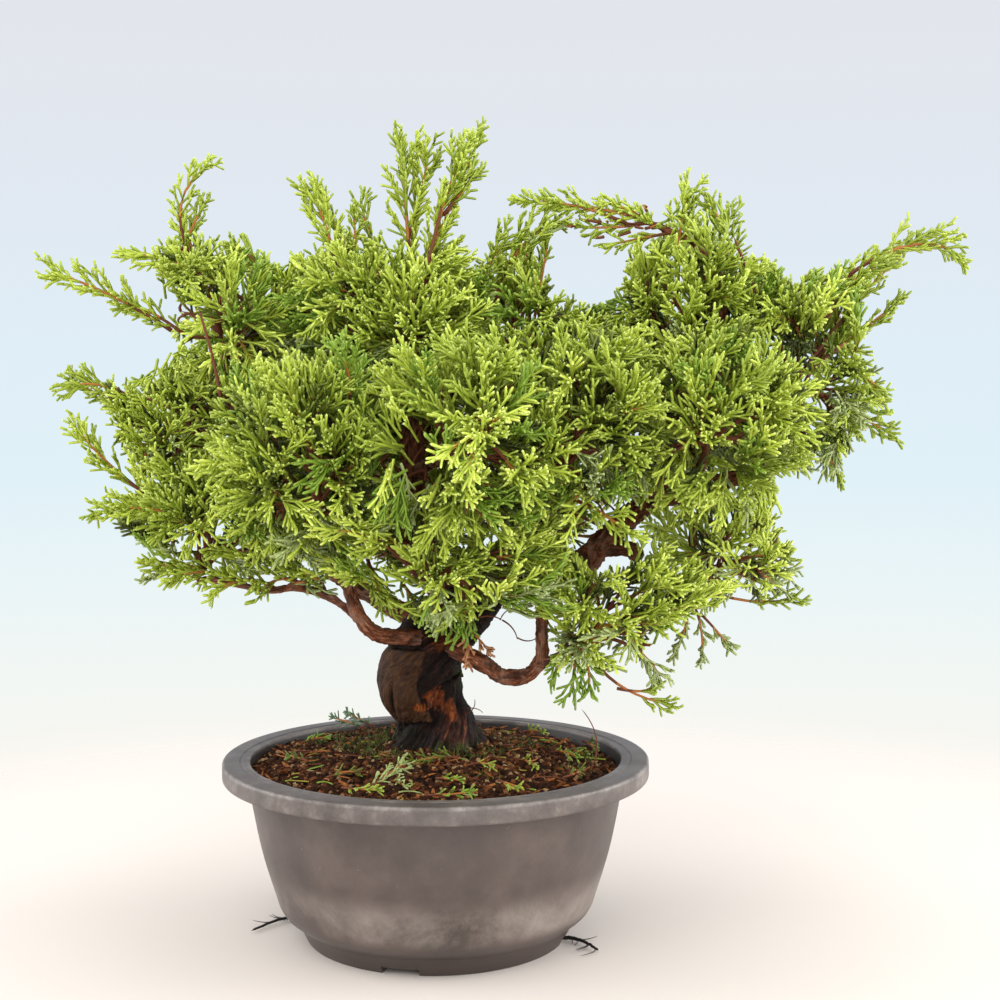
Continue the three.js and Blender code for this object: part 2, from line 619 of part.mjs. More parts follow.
const bounds = new THREE.Box3().setFromObject(bonsai);
const middle = bounds.getCenter(new THREE.Vector3());
bonsai.position.set(-middle.x, -middle.y, -bounds.min.z);

export default bonsai;
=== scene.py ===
"""Itoigawa Chinese juniper bonsai in a round training pot, dressed round its CAD frame.

Sizes are in millimetres round the pot's axis, as in the part's source. The front looks along -Y.
Meshes are made in metres at the place the frame gives.
"""

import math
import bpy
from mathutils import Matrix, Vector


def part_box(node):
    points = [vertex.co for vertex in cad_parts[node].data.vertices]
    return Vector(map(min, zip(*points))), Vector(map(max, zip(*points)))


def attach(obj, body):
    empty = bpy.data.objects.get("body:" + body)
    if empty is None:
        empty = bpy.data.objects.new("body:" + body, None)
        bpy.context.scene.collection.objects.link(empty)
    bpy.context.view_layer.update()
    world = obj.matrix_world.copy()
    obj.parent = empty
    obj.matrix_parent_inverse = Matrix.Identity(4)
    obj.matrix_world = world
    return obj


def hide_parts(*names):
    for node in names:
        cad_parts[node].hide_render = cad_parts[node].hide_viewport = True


bl_info = {
    "name": "Juniper Bonsai",
    "version": (1, 0, 0),
    "blender": (4, 5, 0),
    "location": "3D View > Sidebar > Bonsai",
    "description": "Builds a potted juniper bonsai, piece by piece, round its CAD frame",
    "category": "Add Mesh",
}

import bmesh
import bpy
import numpy as np
from bpy.props import FloatProperty, FloatVectorProperty, IntProperty, PointerProperty
from bpy.types import Operator, Panel, PropertyGroup
from mathutils import Vector, noise

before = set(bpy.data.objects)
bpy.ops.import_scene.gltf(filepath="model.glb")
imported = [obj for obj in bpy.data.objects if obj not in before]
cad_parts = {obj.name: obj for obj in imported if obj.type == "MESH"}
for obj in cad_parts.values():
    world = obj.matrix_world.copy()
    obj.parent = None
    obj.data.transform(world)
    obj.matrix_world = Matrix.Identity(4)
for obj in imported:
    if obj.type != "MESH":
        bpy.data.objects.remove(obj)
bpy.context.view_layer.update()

MM = 0.001
POT_LOW, POT_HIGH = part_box("pot")
AXIS = np.array([(POT_LOW.x + POT_HIGH.x) / 2, (POT_LOW.y + POT_HIGH.y) / 2, POT_LOW.z])
BODY = "root"
GOLDEN_ANGLE = math.pi * (3 - math.sqrt(5))
FULL_TURN = 6.28
GAP = 0.3

# Pot
RIM_RADIUS = 100
RIM_TOP = 84.6
RIM_HEIGHT = 8.3
RIM_WIDTH = 13
RIM_EDGE = 1.3
RIM_UNDER_EDGE = 1.2
RIM_INNER_EDGE = 0.8
GROOVE_PLACE = 4.2
GROOVE_DEPTH = 0.45
WALL = 3
WALL_TOP_RADIUS = 88.5
BELLY_RADIUS = 82
BELLY_HEIGHT = 43.3
LIP_RADIUS = 74.3
LIP_HEIGHT = 17.5
TURN_RADIUS = 72
TURN_HEIGHT = 13.6
HEEL_RADIUS = 66.6
HEEL_HEIGHT = 9.2
FOOT_RADIUS = 61.5
FOOT_TOP_RADIUS = 64.6
FOOT_HEIGHT = 8.4
FOOT_WALL = 5
FLOOR_UNDERSIDE = 3.6
NOTCHES = 4
NOTCH_WIDTH = 17
NOTCH_HEIGHT = 2.3
FIRST_NOTCH_ANGLE = -103
DRAIN_HOLES = 4
DRAIN_RADIUS = 6
DRAIN_RING = 34
SHARP_ANGLE = 40
# Amount of rubbed wear with a painted highlight on the rim's top edges, and of painted shade
# inside the wall
RIM_WEAR_AND_HIGHLIGHT = 0.24
INSIDE_SHADE = 0.85
# Heights where the dusty band starts and ends, and where the foot grows darker towards the bottom
DUST_STARTS = (13, 20.5)
DUST_ENDS = (26, 41)
FOOT_DARKENING = (6, 16)

# Soil
SOIL_EDGE = 79.5
SOIL_SHOULDER_RADIUS = 60
SOIL_SHOULDER = 84.25
SOIL_TOP = 87
SOIL_TABLE_RADIUS = 38
SOIL_EDGE_RADIUS = WALL_TOP_RADIUS - WALL - GAP - 0.4
SOIL_COLUMNS = 260
SOIL_RINGS = 90
BACK_RISE = 2.2
MOUND = 2.2
MOUND_START = 20
MOUND_WIDTH = 9
LUMPS = 1.5
# Grains: piece, finish, dark and light colour, share of all, smallest and largest as shares of
# the grain size, flatness, length and seed
GRAINS = [
    ("soil_grains_dark", "fired_clay_dark", "#150803", "#4a2a17", 0.46, 0.45, 1.0, 0.8, 1.1, 11),
    ("soil_grains_red", "fired_clay_red", "#3a1e0e", "#7c4c2c", 0.24, 0.4, 0.9, 0.75, 1.2, 12),
    ("soil_grains_pale", "pumice_tan", "#5a3f28", "#b89a70", 0.14, 0.35, 0.8, 0.8, 1.1, 13),
    ("soil_bark_bits", "bark_bits", "#5c2e14", "#aa6c38", 0.05, 0.22, 0.5, 0.4, 7.5, 14),
]
GRAIN_DENTS = 1.6
GRAINS_FROM_TRUNK = 19
MOSSES = (("moss_green", "#596529", 21), ("moss_dark", "#3a4519", 22))
MOSS_HEIGHTS = (1.3, 3.3)
MOSS_THICKNESS = 0.3
MOSS_FROM_TRUNK = 15
# Moss on the soil: middle, half widths and how dense
MOSS_PATCHES = [(-33, 12, 14, 16, 0.9), (-22, -12, 11, 9, 0.55), (30, -2, 12, 9, 0.5),
                (12, -14, 12, 6, 0.6), (44, 24, 16, 14, 0.5), (-5, 46, 30, 12, 0.6),
                (-56, 34, 14, 12, 0.5), (66, -20, 9, 6, 0.35), (-56, -12, 6, 6, 0.45),
                (20, -44, 8, 6, 0.15), (70, 6, 6, 9, 0.4)]

# Trunk
TRUNK_RADIUS = 18.2
TRUNK_TIP_RADIUS = 9.5
FLARE = 6.5
FLARE_HEIGHT = 7
FLARE_LOBES = 5
FLARE_LOBE_SHARE = 0.3
BULGE = 2.6
BULGE_HEIGHT = 120
BULGE_SPREAD = 11
BULGE_SKEW = 0.4
TRUNK = [[0, 12, 78], [-1, 12, 103], [-8, 10, 120], [-2, 8, 138], [12, 8, 151], [27, 12, 162]]
TRUNK_COLUMNS = 240
TRUNK_ROWS = 210
TRUNK_START = 0.05
START_SIDE = (0.31, 0.95, 0.07)
# Smooth tan plate on the trunk: azimuth and half width, and where its two edges fade
PLATE = (-152, 56)
PLATE_BOTTOM = (96, 102)
PLATE_TOP = (139, 132)
# Crack in the plate and hollow in front of the trunk: azimuth and height
CRACK = (-133, 110)
TRUNK_HOLLOW = (-20, 111)
# Flaky, peeled and mossy spots on the trunk: azimuth, height, half width, half height and amount
FLAKY_SPOTS = [(-46, 97, 12, 13, 1.0), (-88, 141, 10, 8, 0.6), (60, 110, 12, 16, 0.7),
               (120, 128, 12, 14, 0.6)]
PEELED_SPOTS = [(-69, 112, 4.2, 5, 0.7), (-98, 109, 2.2, 2.4, 0.85), (-58, 104, 2.2, 2.2, 0.6),
                (-75, 138, 4, 6, 0.4), (80, 118, 5, 6, 0.6)]
MOSSY_SPOTS = [(-14, 120, 3.5, 5, 0.85), (-30, 116, 2.5, 3, 0.6), (-60, 88, 12, 3, 0.8),
               (165, 90, 14, 4, 0.8), (60, 92, 14, 5, 0.8)]

# Limbs: name, parent, share of the parent's length, radii at root and tip, points on the way
LIMBS = [
    ("right_bough", "trunk", 0.97, (8, 3), [[50, 16, 167], [71, 16, 175], [83, 14, 188],
     [100, 12, 203], [120, 10, 210], [148, 6, 218], [170, 2, 236]]),
    ("centre_leader", "trunk", 0.78, (7.5, 4), [[-6, 15, 176], [-11, 5, 210], [-10, 0, 243],
     [-9, 0, 258]]),
    ("left_bough", "trunk", 0.7, (5.5, 2.6), [[-21, 22, 152], [-45, 28, 165], [-67, 25, 184],
     [-84, 18, 209], [-93, 8, 240], [-98, 2, 262]]),
    ("left_front_bough", "trunk", 0.62, (4, 2.2), [[-17, -14, 143], [-29, -20, 146],
     [-36, -24, 159], [-40, -28, 175], [-45, -40, 194], [-48, -48, 204]]),
    ("low_right_bough", "trunk", 0.6, (4.2, 3.2), [[20, -16, 132], [31, -22, 126],
     [43, -26, 127], [50, -28, 135]]),
    ("centre_low_bough", "trunk", 0.68, (3, 2), [[3, -24, 155], [4, -37, 165]]),
    ("back_low_bough", "trunk", 0.85, (3.4, 2.2), [[18, 30, 157], [19, 42, 165]]),
    ("centre_front_bough", "centre_leader", 0.55, (3.4, 2.2), [[-4, -24, 222], [6, -50, 227]]),
    ("back_centre_bough", "centre_leader", 0.58, (3.6, 2.4), [[-8, 26, 230], [-6, 48, 246]]),
    ("centre_right_bough", "centre_leader", 0.76, (3.4, 2.2), [[9, 5, 257], [28, 7, 268]]),
    ("inner_left_bough", "centre_leader", 0.42, (2.6, 1.9), [[-18, 8, 206], [-26, 7, 213]]),
    ("inner_right_bough", "centre_leader", 0.46, (2.8, 1.9), [[6, 5, 206], [20, 3, 213]]),
    ("back_left_bough", "left_bough", 0.5, (3.2, 2.2), [[-74, 38, 200], [-79, 50, 218]]),
    ("left_mid_bough", "left_bough", 0.66, (2.6, 1.9), [[-97, 14, 221], [-106, 12, 228]]),
    ("left_low_bough", "left_front_bough", 0.32, (2.1, 1.5), [[-44, -20, 160], [-62, -18, 166],
     [-79, -16, 165], [-106, -15, 170]]),
    ("low_right_riser", "low_right_bough", 0.97, (3.1, 1.9), [[49, -30, 154], [48, -32, 167],
     [48, -38, 190], [53, -45, 215]]),
    ("low_right_shoot", "low_right_bough", 0.9, (2.6, 1.8), [[56, -32, 136], [62, -35, 139]]),
    ("right_top_bough", "right_bough", 0.62, (3.8, 2.4), [[109, 8, 228], [114, 3, 261]]),
    ("arching_bough", "right_top_bough", 0.62, (2.2, 1.5), [[129, -4, 272], [132, -8, 302],
     [121, -8, 322], [104, -8, 331]]),
    ("right_front_bough", "right_bough", 0.72, (3, 2), [[121, -8, 217], [122, -20, 224]]),
    ("right_low_bough", "right_bough", 0.68, (2.4, 1.6), [[121, 6, 190], [120, 2, 178],
     [126, 0, 170]]),
    ("back_right_bough", "right_bough", 0.6, (3.4, 2.2), [[102, 32, 214], [102, 46, 230]]),
    ("cut_stub", "right_bough", 0.36, (4.2, 3.4), [[92, 7, 181], [95, 4, 179]]),
]

# How far apart the grain of one bough lies from the next
LIMB_GRAIN_APART = 57
# Height of a row and number of columns, on boughs thicker than 5 mm and on the others
THICK_BOUGH = 5
THICK_MESH = (0.55, 40)
THIN_MESH = (0.8, 22)

# Masses of foliage: name before _foliage, bough, centre, radii, how much more painted light
# its leaves get than the rule gives, share of its leaders with grey leaves beneath, and the ends
# of its long shoots with how far each arches
MASSES = [
    ("left_top", "left_bough", (-100, 0, 289), (50, 46, 45), 0.36, 0.2,
     [[-101, 0, 362, 0], [-182, 0, 312, -10], [-138, -8, 322, 0], [-118, 4, 336, 0]]),
    ("left_middle", "left_mid_bough", (-121, 6, 240), (45, 42, 34), 0.24, 0.2,
     [[-173, 8, 262, -3], [-172, 0, 243, -4]]),
    ("left_low", "left_low_bough", (-100, -14, 196), (60, 44, 37), 0.22, 0.5,
     [[-150, -15, 199, -3], [-133, -15, 170, 0]]),
    ("front_left", "left_front_bough", (-50, -66, 224), (44, 42, 48), 0, 0.2, []),
    ("top_centre", "centre_leader", (-22, 0, 289), (55, 52, 48), 0.32, 0.2,
     [[-57, 0, 351, 0], [-20, 0, 371, 0], [-8, 3, 368, 4], [21, 0, 374, -3], [-35, 5, 345, 0]]),
    ("front_centre", "centre_front_bough", (14, -82, 232), (44, 40, 44), 0.1, 0.2, []),
    ("front_low", "centre_low_bough", (4, -56, 182), (58, 40, 35), 0.2, 0.5, []),
    ("centre_right", "centre_right_bough", (47, 6, 275), (47, 48, 44), 0.2, 0.2,
     [[54, 14, 334, 0], [42, 12, 327, 0]]),
    ("arching", "arching_bough", (84, -10, 333), (36, 15, 13), 0.3, 0.2,
     [[39, -8, 343, 5], [54, -10, 342, 3]]),
    ("front_right", "low_right_riser", (66, -60, 238), (41, 42, 43), 0.06, 0.5, []),
    ("low_right", "low_right_shoot", (83, -41, 160), (42, 36, 37), 0.36, 0.5,
     [[65, -45, 119, 0], [105, -45, 117, 4]]),
    ("right_top", "right_top_bough", (120, 0, 294), (49, 46, 47), 0.24, 0.2,
     [[121, 0, 352, 0], [138, 0, 339, 0]]),
    ("right_front", "right_front_bough", (123, -48, 240), (44, 42, 43), 0.1, 0.2, []),
    ("right_far", "right_bough", (167, 0, 267), (52, 48, 55), 0.16, 0.5,
     [[244, 0, 326, 10], [226, 2, 328, 8], [216, 0, 298, 0], [213, 0, 236, 0],
      [192, 0, 208, 0]]),
    ("right_low", "right_low_bough", (141, -5, 182), (38, 37, 34), 0.36, 0.5,
     [[171, 0, 159, 0], [134, -5, 135, 0]]),
    ("inner_left", "inner_left_bough", (-42, 6, 222), (36, 40, 36), 0, 0.2, []),
    ("inner_right", "inner_right_bough", (42, 0, 222), (36, 38, 32), 0.3, 0.2, []),
    ("back_left", "back_left_bough", (-82, 64, 246), (60, 46, 56), 0.34, 0.2, []),
    ("back_centre", "back_centre_bough", (-8, 78, 260), (54, 48, 60), 0.4, 0.2, []),
    ("back_right", "back_right_bough", (106, 66, 244), (62, 48, 54), 0.3, 0.2, []),
    ("back_low", "back_low_bough", (20, 62, 186), (58, 44, 33), 0, 0.2, []),
]
CENTRES = np.array([mass[2] for mass in MASSES], float)
RADII = np.array([mass[3] for mass in MASSES], float)

# Masses whose sprays are joined into one piece, by its name before _sprays
SPRAY_PIECES = {
    "left": ("left_top", "left_middle", "left_low"),
    "front": ("front_left", "front_centre", "front_low"),
    "top": ("top_centre", "centre_right", "arching"),
    "right": ("right_top", "right_far"),
    "low_right": ("front_right", "low_right", "right_front", "right_low"),
    "back": ("back_left", "back_centre", "inner_left"),
    "back_right": ("back_right", "back_low", "inner_right"),
}

# Foliage
HUB_SHARE = 0.8
STEM_LEAD = 6
AREA_PER_LEADER = 28
FACING_UP = 0.9
BRANCHES = 9
BRANCH_STARTS = (0.5, 1.0)
BRANCH_BARE = 0.3
INNER_SPACING = 1.9
DEEP_SHARE = 0.6
BRANCH_REACH = 0.56
BRANCH_RADIUS = 1.25
BRANCH_TIP_RADIUS = 0.6
LEADER_STARTS = (0.35, 1.0)
LEADER_REACH = (0.66, 0.97)
LEADER_BARE = 0.12
ORANGE_SHARE = 0.2
LEADER_RADIUS = 0.8
LEADER_TIP_RADIUS = 0.42
TWIG_CLEARANCE = 0.9
MINGLE = 0.18
TWIG_SPREAD = (28, 52)
TWIG_REACH = (0.75, 1.2)
TWIG_ROLL = 0.8
TWIG_OUT = 0.8
TWIG_ONWARD = 0.42
TWIG_LIFT = 0.07
TWIG_BEND = 0.55
CORD_SPREAD = (22, 54)
CORD_REACH = (0.65, 1.2)
CORD_ROLL = 0.85
LEAF_KINDS = {
    "fresh": ("#aebf42", "#c5d46f"),
    "green": ("#95a734", "#b0c05b"),
    "olive": ("#637120", "#7f8e34"),
    "grey": ("#9dab68", "#b3bf88"),
    "deep": ("#3e4714", "#525c22"),
    "dead": ("#c98b5e", "#dba578"),
    "lime": ("#c9d957", "#dae582"),
    "emerald": ("#7f9c30", "#93ae47"),
    "blue_green": ("#6b8762", "#829a78"),
}
FRESH, GREEN, OLIVE, GREY, DEEP, DEAD, LIME, EMERALD, BLUE_GREEN = range(9)
# How much light each kind of leaf needs, in the order that they are dealt
LIGHT_STEPS = ((0.47, GREEN), (0.82, FRESH), (1.15, LIME))
DEEP_BELOW = 0.27
EMERALD_BELOW = 0.95
EMERALD_SHARE = 0.14
GREY_SHARE = 0.75

# Long shoots that the photograph shows and the frame leaves out, by mass: where each starts, the
# point that it bends towards, its end, how wide its side twigs reach, its kind of leaf and the
# share of it that is bare, unless a tenth
SHOOTS = {
    "left_top": [
        ((-112, -4, 316), (-126, -6, 346), (-102, -6, 360), 6.5, FRESH, 0.05),
        ((-118, -4, 318), (-112, -6, 330), (-106, -6, 342), 6, GREEN),
        ((-84, -16, 296), (-118, -20, 318), (-136, -18, 318), 9, FRESH),
        ((-70, -10, 296), (-80, -12, 318), (-90, -12, 321), 8, GREEN),
        ((-122, -4, 284), (-148, -4, 302), (-177, -4, 311), 10, FRESH, 0.02),
        ((-116, -4, 282), (-132, -4, 295), (-143, -4, 296), 7, GREEN, 0)],
    "left_middle": [
        ((-124, -8, 214), (-138, -8, 232), (-145, -8, 240), 8, FRESH, 0),
        ((-130, -6, 246), (-152, -8, 264), (-170, -8, 258), 9, GREEN, 0.02),
        ((-128, -8, 204), (-152, -10, 221), (-166, -10, 240), 9, FRESH, 0.02)],
    "top_centre": [
        ((-10, -6, 296), (-13, -8, 338), (-15, -8, 366), 13, FRESH, 0.08),
        ((-12, -7, 326), (-4, -8, 350), (-3, -9, 364), 10, FRESH),
        ((-6, -12, 286), (-1, -14, 336), (14, -12, 365), 13, FRESH, 0.12),
        ((4, -12, 336), (14, -12, 348), (18, -12, 354), 8, GREEN),
        ((-44, -10, 306), (-48, -12, 332), (-55, -12, 344), 11, FRESH, 0.05),
        ((-36, -8, 310), (-36, -10, 326), (-37, -10, 338), 3.5, GREEN)],
    "centre_right": [
        ((28, -6, 296), (34, -10, 324), (54, -8, 332), 11, FRESH),
        ((20, -10, 290), (20, -14, 312), (34, -14, 326), 10, GREEN)],
    "right_top": [
        ((112, -8, 300), (110, -10, 332), (117, -10, 347), 9, FRESH),
        ((140, -8, 300), (136, -10, 328), (126, -10, 341), 8, GREEN, 0.05)],
    "right_far": [
        ((174, -8, 296), (218, -8, 336), (241, -8, 318), 10, FRESH, 0.05),
        ((176, -12, 284), (192, -16, 312), (204, -16, 314), 10, GREEN),
        ((176, -4, 234), (184, -4, 224), (189, -4, 216), 6, GREEN, 0.2)],
    "arching": [
        ((110, -8, 329), (84, -10, 341), (38, -8, 343), 6.5, FRESH, 0.05),
        ((104, -8, 330), (90, -9, 340), (77, -10, 342), 4.5, FRESH),
        ((98, -8, 333), (84, -9, 330), (66, -9, 331), 5.5, GREEN),
        ((110, -8, 329), (96, -9, 326), (80, -9, 323), 6, FRESH)],
    "front_centre": [
        ((24, -104, 238), (16, -118, 238), (9, -124, 231), 9, LIME, 0),
        ((24, -104, 238), (20, -120, 234), (18, -124, 224), 8, LIME, 0),
        ((24, -104, 238), (28, -116, 246), (32, -120, 245), 8, LIME, 0),
        ((22, -104, 236), (24, -120, 242), (22, -124, 238), 8, LIME, 0),
        ((26, -100, 234), (36, -108, 226), (40, -112, 214), 8, FRESH, 0)],
    "front_left": [
        ((-40, -72, 222), (-52, -92, 236), (-58, -104, 246), 9, FRESH),
        ((-34, -70, 240), (-30, -90, 262), (-34, -98, 270), 9, EMERALD),
        ((-30, -24, 178), (-26, -32, 174), (-19, -34, 159), 8, GREEN),
        ((-30, -26, 180), (-27, -36, 174), (-23, -38, 163), 8, FRESH)],
    "front_low": [
        ((-6, -62, 176), (-20, -84, 200), (-42, -92, 198), 9, LIME, 0.3),
        ((2, -62, 176), (8, -84, 180), (4, -92, 172), 9, FRESH),
        ((12, -32, 170), (11, -42, 162), (6, -42, 151), 8, EMERALD, 0.05),
        ((12, -32, 170), (16, -42, 161), (13, -42, 148), 8, EMERALD, 0.05),
        ((13, -17, 150), (15, -18, 142), (16, -18, 131), 3.5, DEAD, 0.3),
        ((15, -17, 148), (20, -18, 143), (25, -18, 137), 2.5, DEAD, 0.3),
        ((-18, -20, 174), (-12, -32, 168), (-7, -34, 157), 8, GREEN)],
    "front_right": [
        ((66, -66, 236), (78, -88, 248), (92, -98, 250), 9, FRESH),
        ((60, -62, 210), (74, -84, 206), (84, -92, 196), 9, FRESH)],
    "right_front": [
        ((122, -56, 240), (120, -78, 256), (110, -88, 264), 9, EMERALD)],
    "left_low": [
        ((-104, -34, 196), (-122, -46, 206), (-136, -52, 205), 9, FRESH),
        ((-66, -30, 182), (-58, -46, 190), (-44, -52, 186), 9, FRESH),
        ((-60, -18, 167), (-66, -34, 176), (-77, -42, 168), 9, GREEN, 0),
        ((-74, -16, 166), (-84, -34, 176), (-96, -42, 167), 9, FRESH, 0),
        ((-88, -16, 168), (-100, -30, 178), (-115, -36, 173), 9, FRESH, 0),
        ((-100, -15, 170), (-112, -20, 180), (-128, -22, 176), 9, FRESH, 0),
        ((-106, -15, 172), (-118, -15, 176), (-130, -15, 171), 7, GREY),
        ((-50, -19, 164), (-50, -34, 174), (-60, -44, 176), 9, GREEN, 0),
        ((-68, -17, 166), (-62, -26, 172), (-52, -30, 168), 8, GREY, 0),
        ((-118, -14, 194), (-138, -16, 206), (-155, -16, 200), 9, FRESH, 0.05)],
    "low_right": [
        ((63, -42, 142), (64, -45, 132), (61, -46, 122), 7, EMERALD, 0),
        ((66, -42, 142), (71, -45, 132), (69, -46, 123), 6, EMERALD, 0),
        ((72, -42, 136), (83, -44, 121), (106, -45, 117), 6, GREEN, 0.62),
        ((82, -43, 124), (92, -45, 122), (98, -45, 124), 5, GREEN, 0.4),
        ((80, -42, 146), (96, -46, 142), (101, -47, 128), 7, GREY, 0.3),
        ((60, -38, 146), (66, -52, 158), (62, -62, 162), 9, FRESH),
        ((62, -38, 146), (78, -56, 156), (84, -64, 156), 9, LIME),
        ((60, -42, 144), (56, -45, 138), (54, -46, 130), 6, EMERALD, 0),
        ((66, -36, 150), (72, -52, 150), (70, -60, 142), 8, LIME),
        ((78, -40, 156), (94, -54, 158), (104, -60, 154), 8, FRESH)],
    "back_low": [
        ((48, 52, 190), (60, 44, 199), (72, 40, 197), 7, EMERALD, 0),
        ((50, 52, 198), (64, 44, 206), (78, 42, 204), 7, OLIVE, 0),
        ((56, 50, 182), (68, 44, 187), (80, 42, 183), 6, OLIVE, 0)],
    "right_low": [
        ((126, 0, 172), (146, -6, 182), (164, -8, 180), 7, FRESH),
        ((126, 0, 176), (140, -8, 196), (154, -10, 198), 7, FRESH),
        ((119, -5, 162), (118, -6, 148), (112, -6, 133), 3.5, GREY, 0.25),
        ((119, -5, 160), (126, -6, 146), (124, -6, 131), 3.5, GREY, 0.25),
        ((124, -5, 152), (132, -6, 144), (137, -6, 137), 3.5, GREY, 0.25),
        ((120, -4, 166), (146, -5, 154), (168, -6, 160), 6.5, GREEN, 0.5)],
}
SHOOT_APART = 14
# Long shoots of the frame: how wide, kind of leaf and bare share
FRAME_SHOOT = (6.5, GREEN, 0.34)

# Edge of the dense crown as the front view shows it on the plane y = 0, across and up, read off
# the photograph. Only long shoots pass it.
CROWN_EDGE = [
    (-121, 288), (-119, 298), (-126, 310), (-136, 320), (-126, 326), (-112, 328), (-98, 326),
    (-90, 323), (-80, 320), (-69, 316), (-61, 322), (-49, 328), (-39, 325), (-30, 328),
    (-19, 321), (-14, 328), (-7, 321), (2, 323), (11, 327), (21, 319), (30, 323), (42, 330),
    (47, 325), (47, 312), (55, 302), (72, 296), (82, 298), (87, 309), (90, 321), (100, 328),
    (112, 337), (119, 342), (126, 337), (135, 327), (146, 320), (158, 313), (168, 307),
    (177, 313), (193, 316), (205, 316), (206, 310), (201, 298), (198, 284), (203, 270),
    (217, 250), (209, 235), (195, 231), (191, 217), (177, 214), (168, 219), (155, 207),
    (159, 194), (172, 176), (169, 158), (144, 157), (133, 156), (124, 150),
    (114, 154), (106, 143), (100, 129), (86, 126), (72, 128), (65, 120), (58, 126),
    (52, 140), (40, 154), (30, 157), (20, 150), (7, 140), (-4, 144), (-12, 153), (-26, 158),
    (-42, 161), (-53, 170), (-63, 166), (-82, 167), (-103, 170), (-117, 177), (-131, 180),
    (-142, 189), (-154, 195), (-145, 205), (-138, 214), (-145, 224), (-149, 233),
    (-147, 244), (-157, 255), (-148, 262), (-126, 262), (-119, 275),
]

# Open sky inside the crown, and places where the twigs in front leave a bough bare: middle
# across and up, half width and half height
SKY = [
    (-79, 304, 10, 4), (72, 303, 12, 7), (70, 203, 9, 3), (69, 184, 8, 6), (93, 183, 11, 6),
    (83, 191, 12, 7), (136, 212, 7, 4), (142, 183, 5, 4), (81, 221, 4, 5), (83, 231, 3, 4),
    (29, 187, 7, 5), (3, 186, 3, 4), (-41, 188, 7, 3), (-40, 168, 4, 5), (-26, 166, 6, 4),
    (-76, 172, 5, 4), (-98, 176, 6, 3), (-120, 185, 4, 3), (-87, 146, 35, 13), (30, 138, 17, 12),
    (66, 164, 5, 4), (44, 182, 3, 7), (139, 196, 5, 4), (151, 205, 4, 4), (110, 189, 4, 4),
    (113, 204, 3, 4),
]
BARE = [
    (80, 190, 19, 17), (128, 222, 24, 6), (-26, 161, 24, 6), (-58, 165, 18, 5),
    (-10, 220, 21, 13), (-12, 240, 12, 11), (-35, 174, 4, 12),
]
BARE_BEFORE = 8

# Sprigs fallen on the soil: start, bend, end, how wide and the kind of leaf
FALLEN_SPRIGS = [
    ((-38, 58, 85.5), (-48, 66, 87.5), (-57, 73, 88), 2.2, BLUE_GREEN),
    ((-34, 60, 85.5), (-42, 66, 88.5), (-49, 72, 91), 2.2, BLUE_GREEN),
    ((-27, -72, 86), (-20, -60, 88), (-12, -48, 92), 6, GREY),
    ((-18, -62, 87), (-13, -64, 87), (-11, -70, 86), 3, GREY),
    ((11, -30, 90), (2, -30, 91), (-9, -30, 88), 4.5, OLIVE),
    ((-1, -76, 84), (8, -80, 85), (17, -77, 85.5), 1.6, EMERALD),
    ((-38, -69, 85.5), (-30, -74, 86), (-22, -75, 86), 1.6, GREEN),
    ((2, -58, 87), (7, -62, 88), (13, -62, 87), 1.8, EMERALD),
    ((16, -36, 88), (24, -35, 90), (26, -41, 88), 1, GREEN),
    ((29, -61, 87), (33, -67, 87), (38, -70, 86), 2, GREEN),
    ((42, 44, 86.5), (46, 40, 89), (51, 36, 88), 2, GREEN),
    ((54, -4, 87), (60, -8, 89), (66, -16, 87), 2, EMERALD),
    ((62, 4, 86.5), (66, -4, 88), (70, -8, 86), 2, OLIVE),
    ((-58, -22, 86.5), (-64, -18, 87.5), (-68, -12, 87), 2, OLIVE),
    ((58, -50, 85.5), (64, -46, 86.5), (66, -40, 86), 2, OLIVE),
    ((-66, 16, 86.5), (-60, 22, 89), (-54, 22, 88), 2, EMERALD),
    ((70, 22, 86.5), (74, 16, 87), (76, 8, 85), 2, OLIVE),
    ((20, 62, 86.5), (12, 66, 88), (4, 66, 87), 3, GREEN),
    ((38, -20, 87), (44, -26, 88), (46, -34, 87), 1.5, GREEN),
    ((-46, -52, 86), (-40, -46, 88), (-34, -46, 87), 1.5, OLIVE),
]
FALLEN_CORD = 5.2
FALLEN_CORD_THICKNESS = 0.62
# Loose cords and dry twigs on the soil: how many, how far out, how long and how thick
LITTER = 130
LITTER_RADIUS = 76
LITTER_LENGTHS = (3.5, 12)
LITTER_THICKNESS = 0.4
DRY_STALKS = [
    ((71, -30, 84), (79, -27, 98), (67, -22, 111), 0.42),
    ((-2, 62, 84), (2, 64, 92), (-4, 62, 98), 0.3),
    ((66, -48, 86), (56, -38, 88), (60, -26, 87), 0.45),
    ((-40, -46, 86), (-30, -52, 89), (-22, -46, 88), 0.3),
    ((40, -58, 86), (50, -56, 89), (60, -58, 86), 0.35),
    ((-70, 0, 86), (-62, -8, 89), (-54, -6, 87), 0.35),
    ((20, -16, 152), (26, -16, 154), (31, -17, 151), 0.5),
    ((31, -17, 151), (37, -17, 148), (38, -18, 142), 0.45),
    ((38, -18, 143), (43, -18, 140), (47, -18, 143), 0.4),
    ((30, -17, 151), (32, -17, 156), (37, -17, 157), 0.35),
    ((76, 10, 193), (62, 4, 201), (45, 0, 203), 0.8),
    ((80, 8, 197), (74, 4, 207), (71, 2, 214), 0.6),
    ((84, 8, 200), (78, 2, 208), (58, -2, 209), 0.5),
    ((70, 8, 194), (62, 2, 191), (50, 0, 189), 0.5),
    ((13, 4, 103), (19, 3, 105), (18, 2, 111), 0.35),
    ((-92, -47, 252), (-95, -48, 272), (-102, -46, 293), 0.9),
    ((146, -24, 296), (141, -22, 312), (136, -16, 326), 1.0),
    ((-9, -24, 286), (-1, -22, 320), (4, -17, 341), 1.1),
    ((14, 4, 106), (20, 3, 107), (22, 2, 104), 0.3),
]

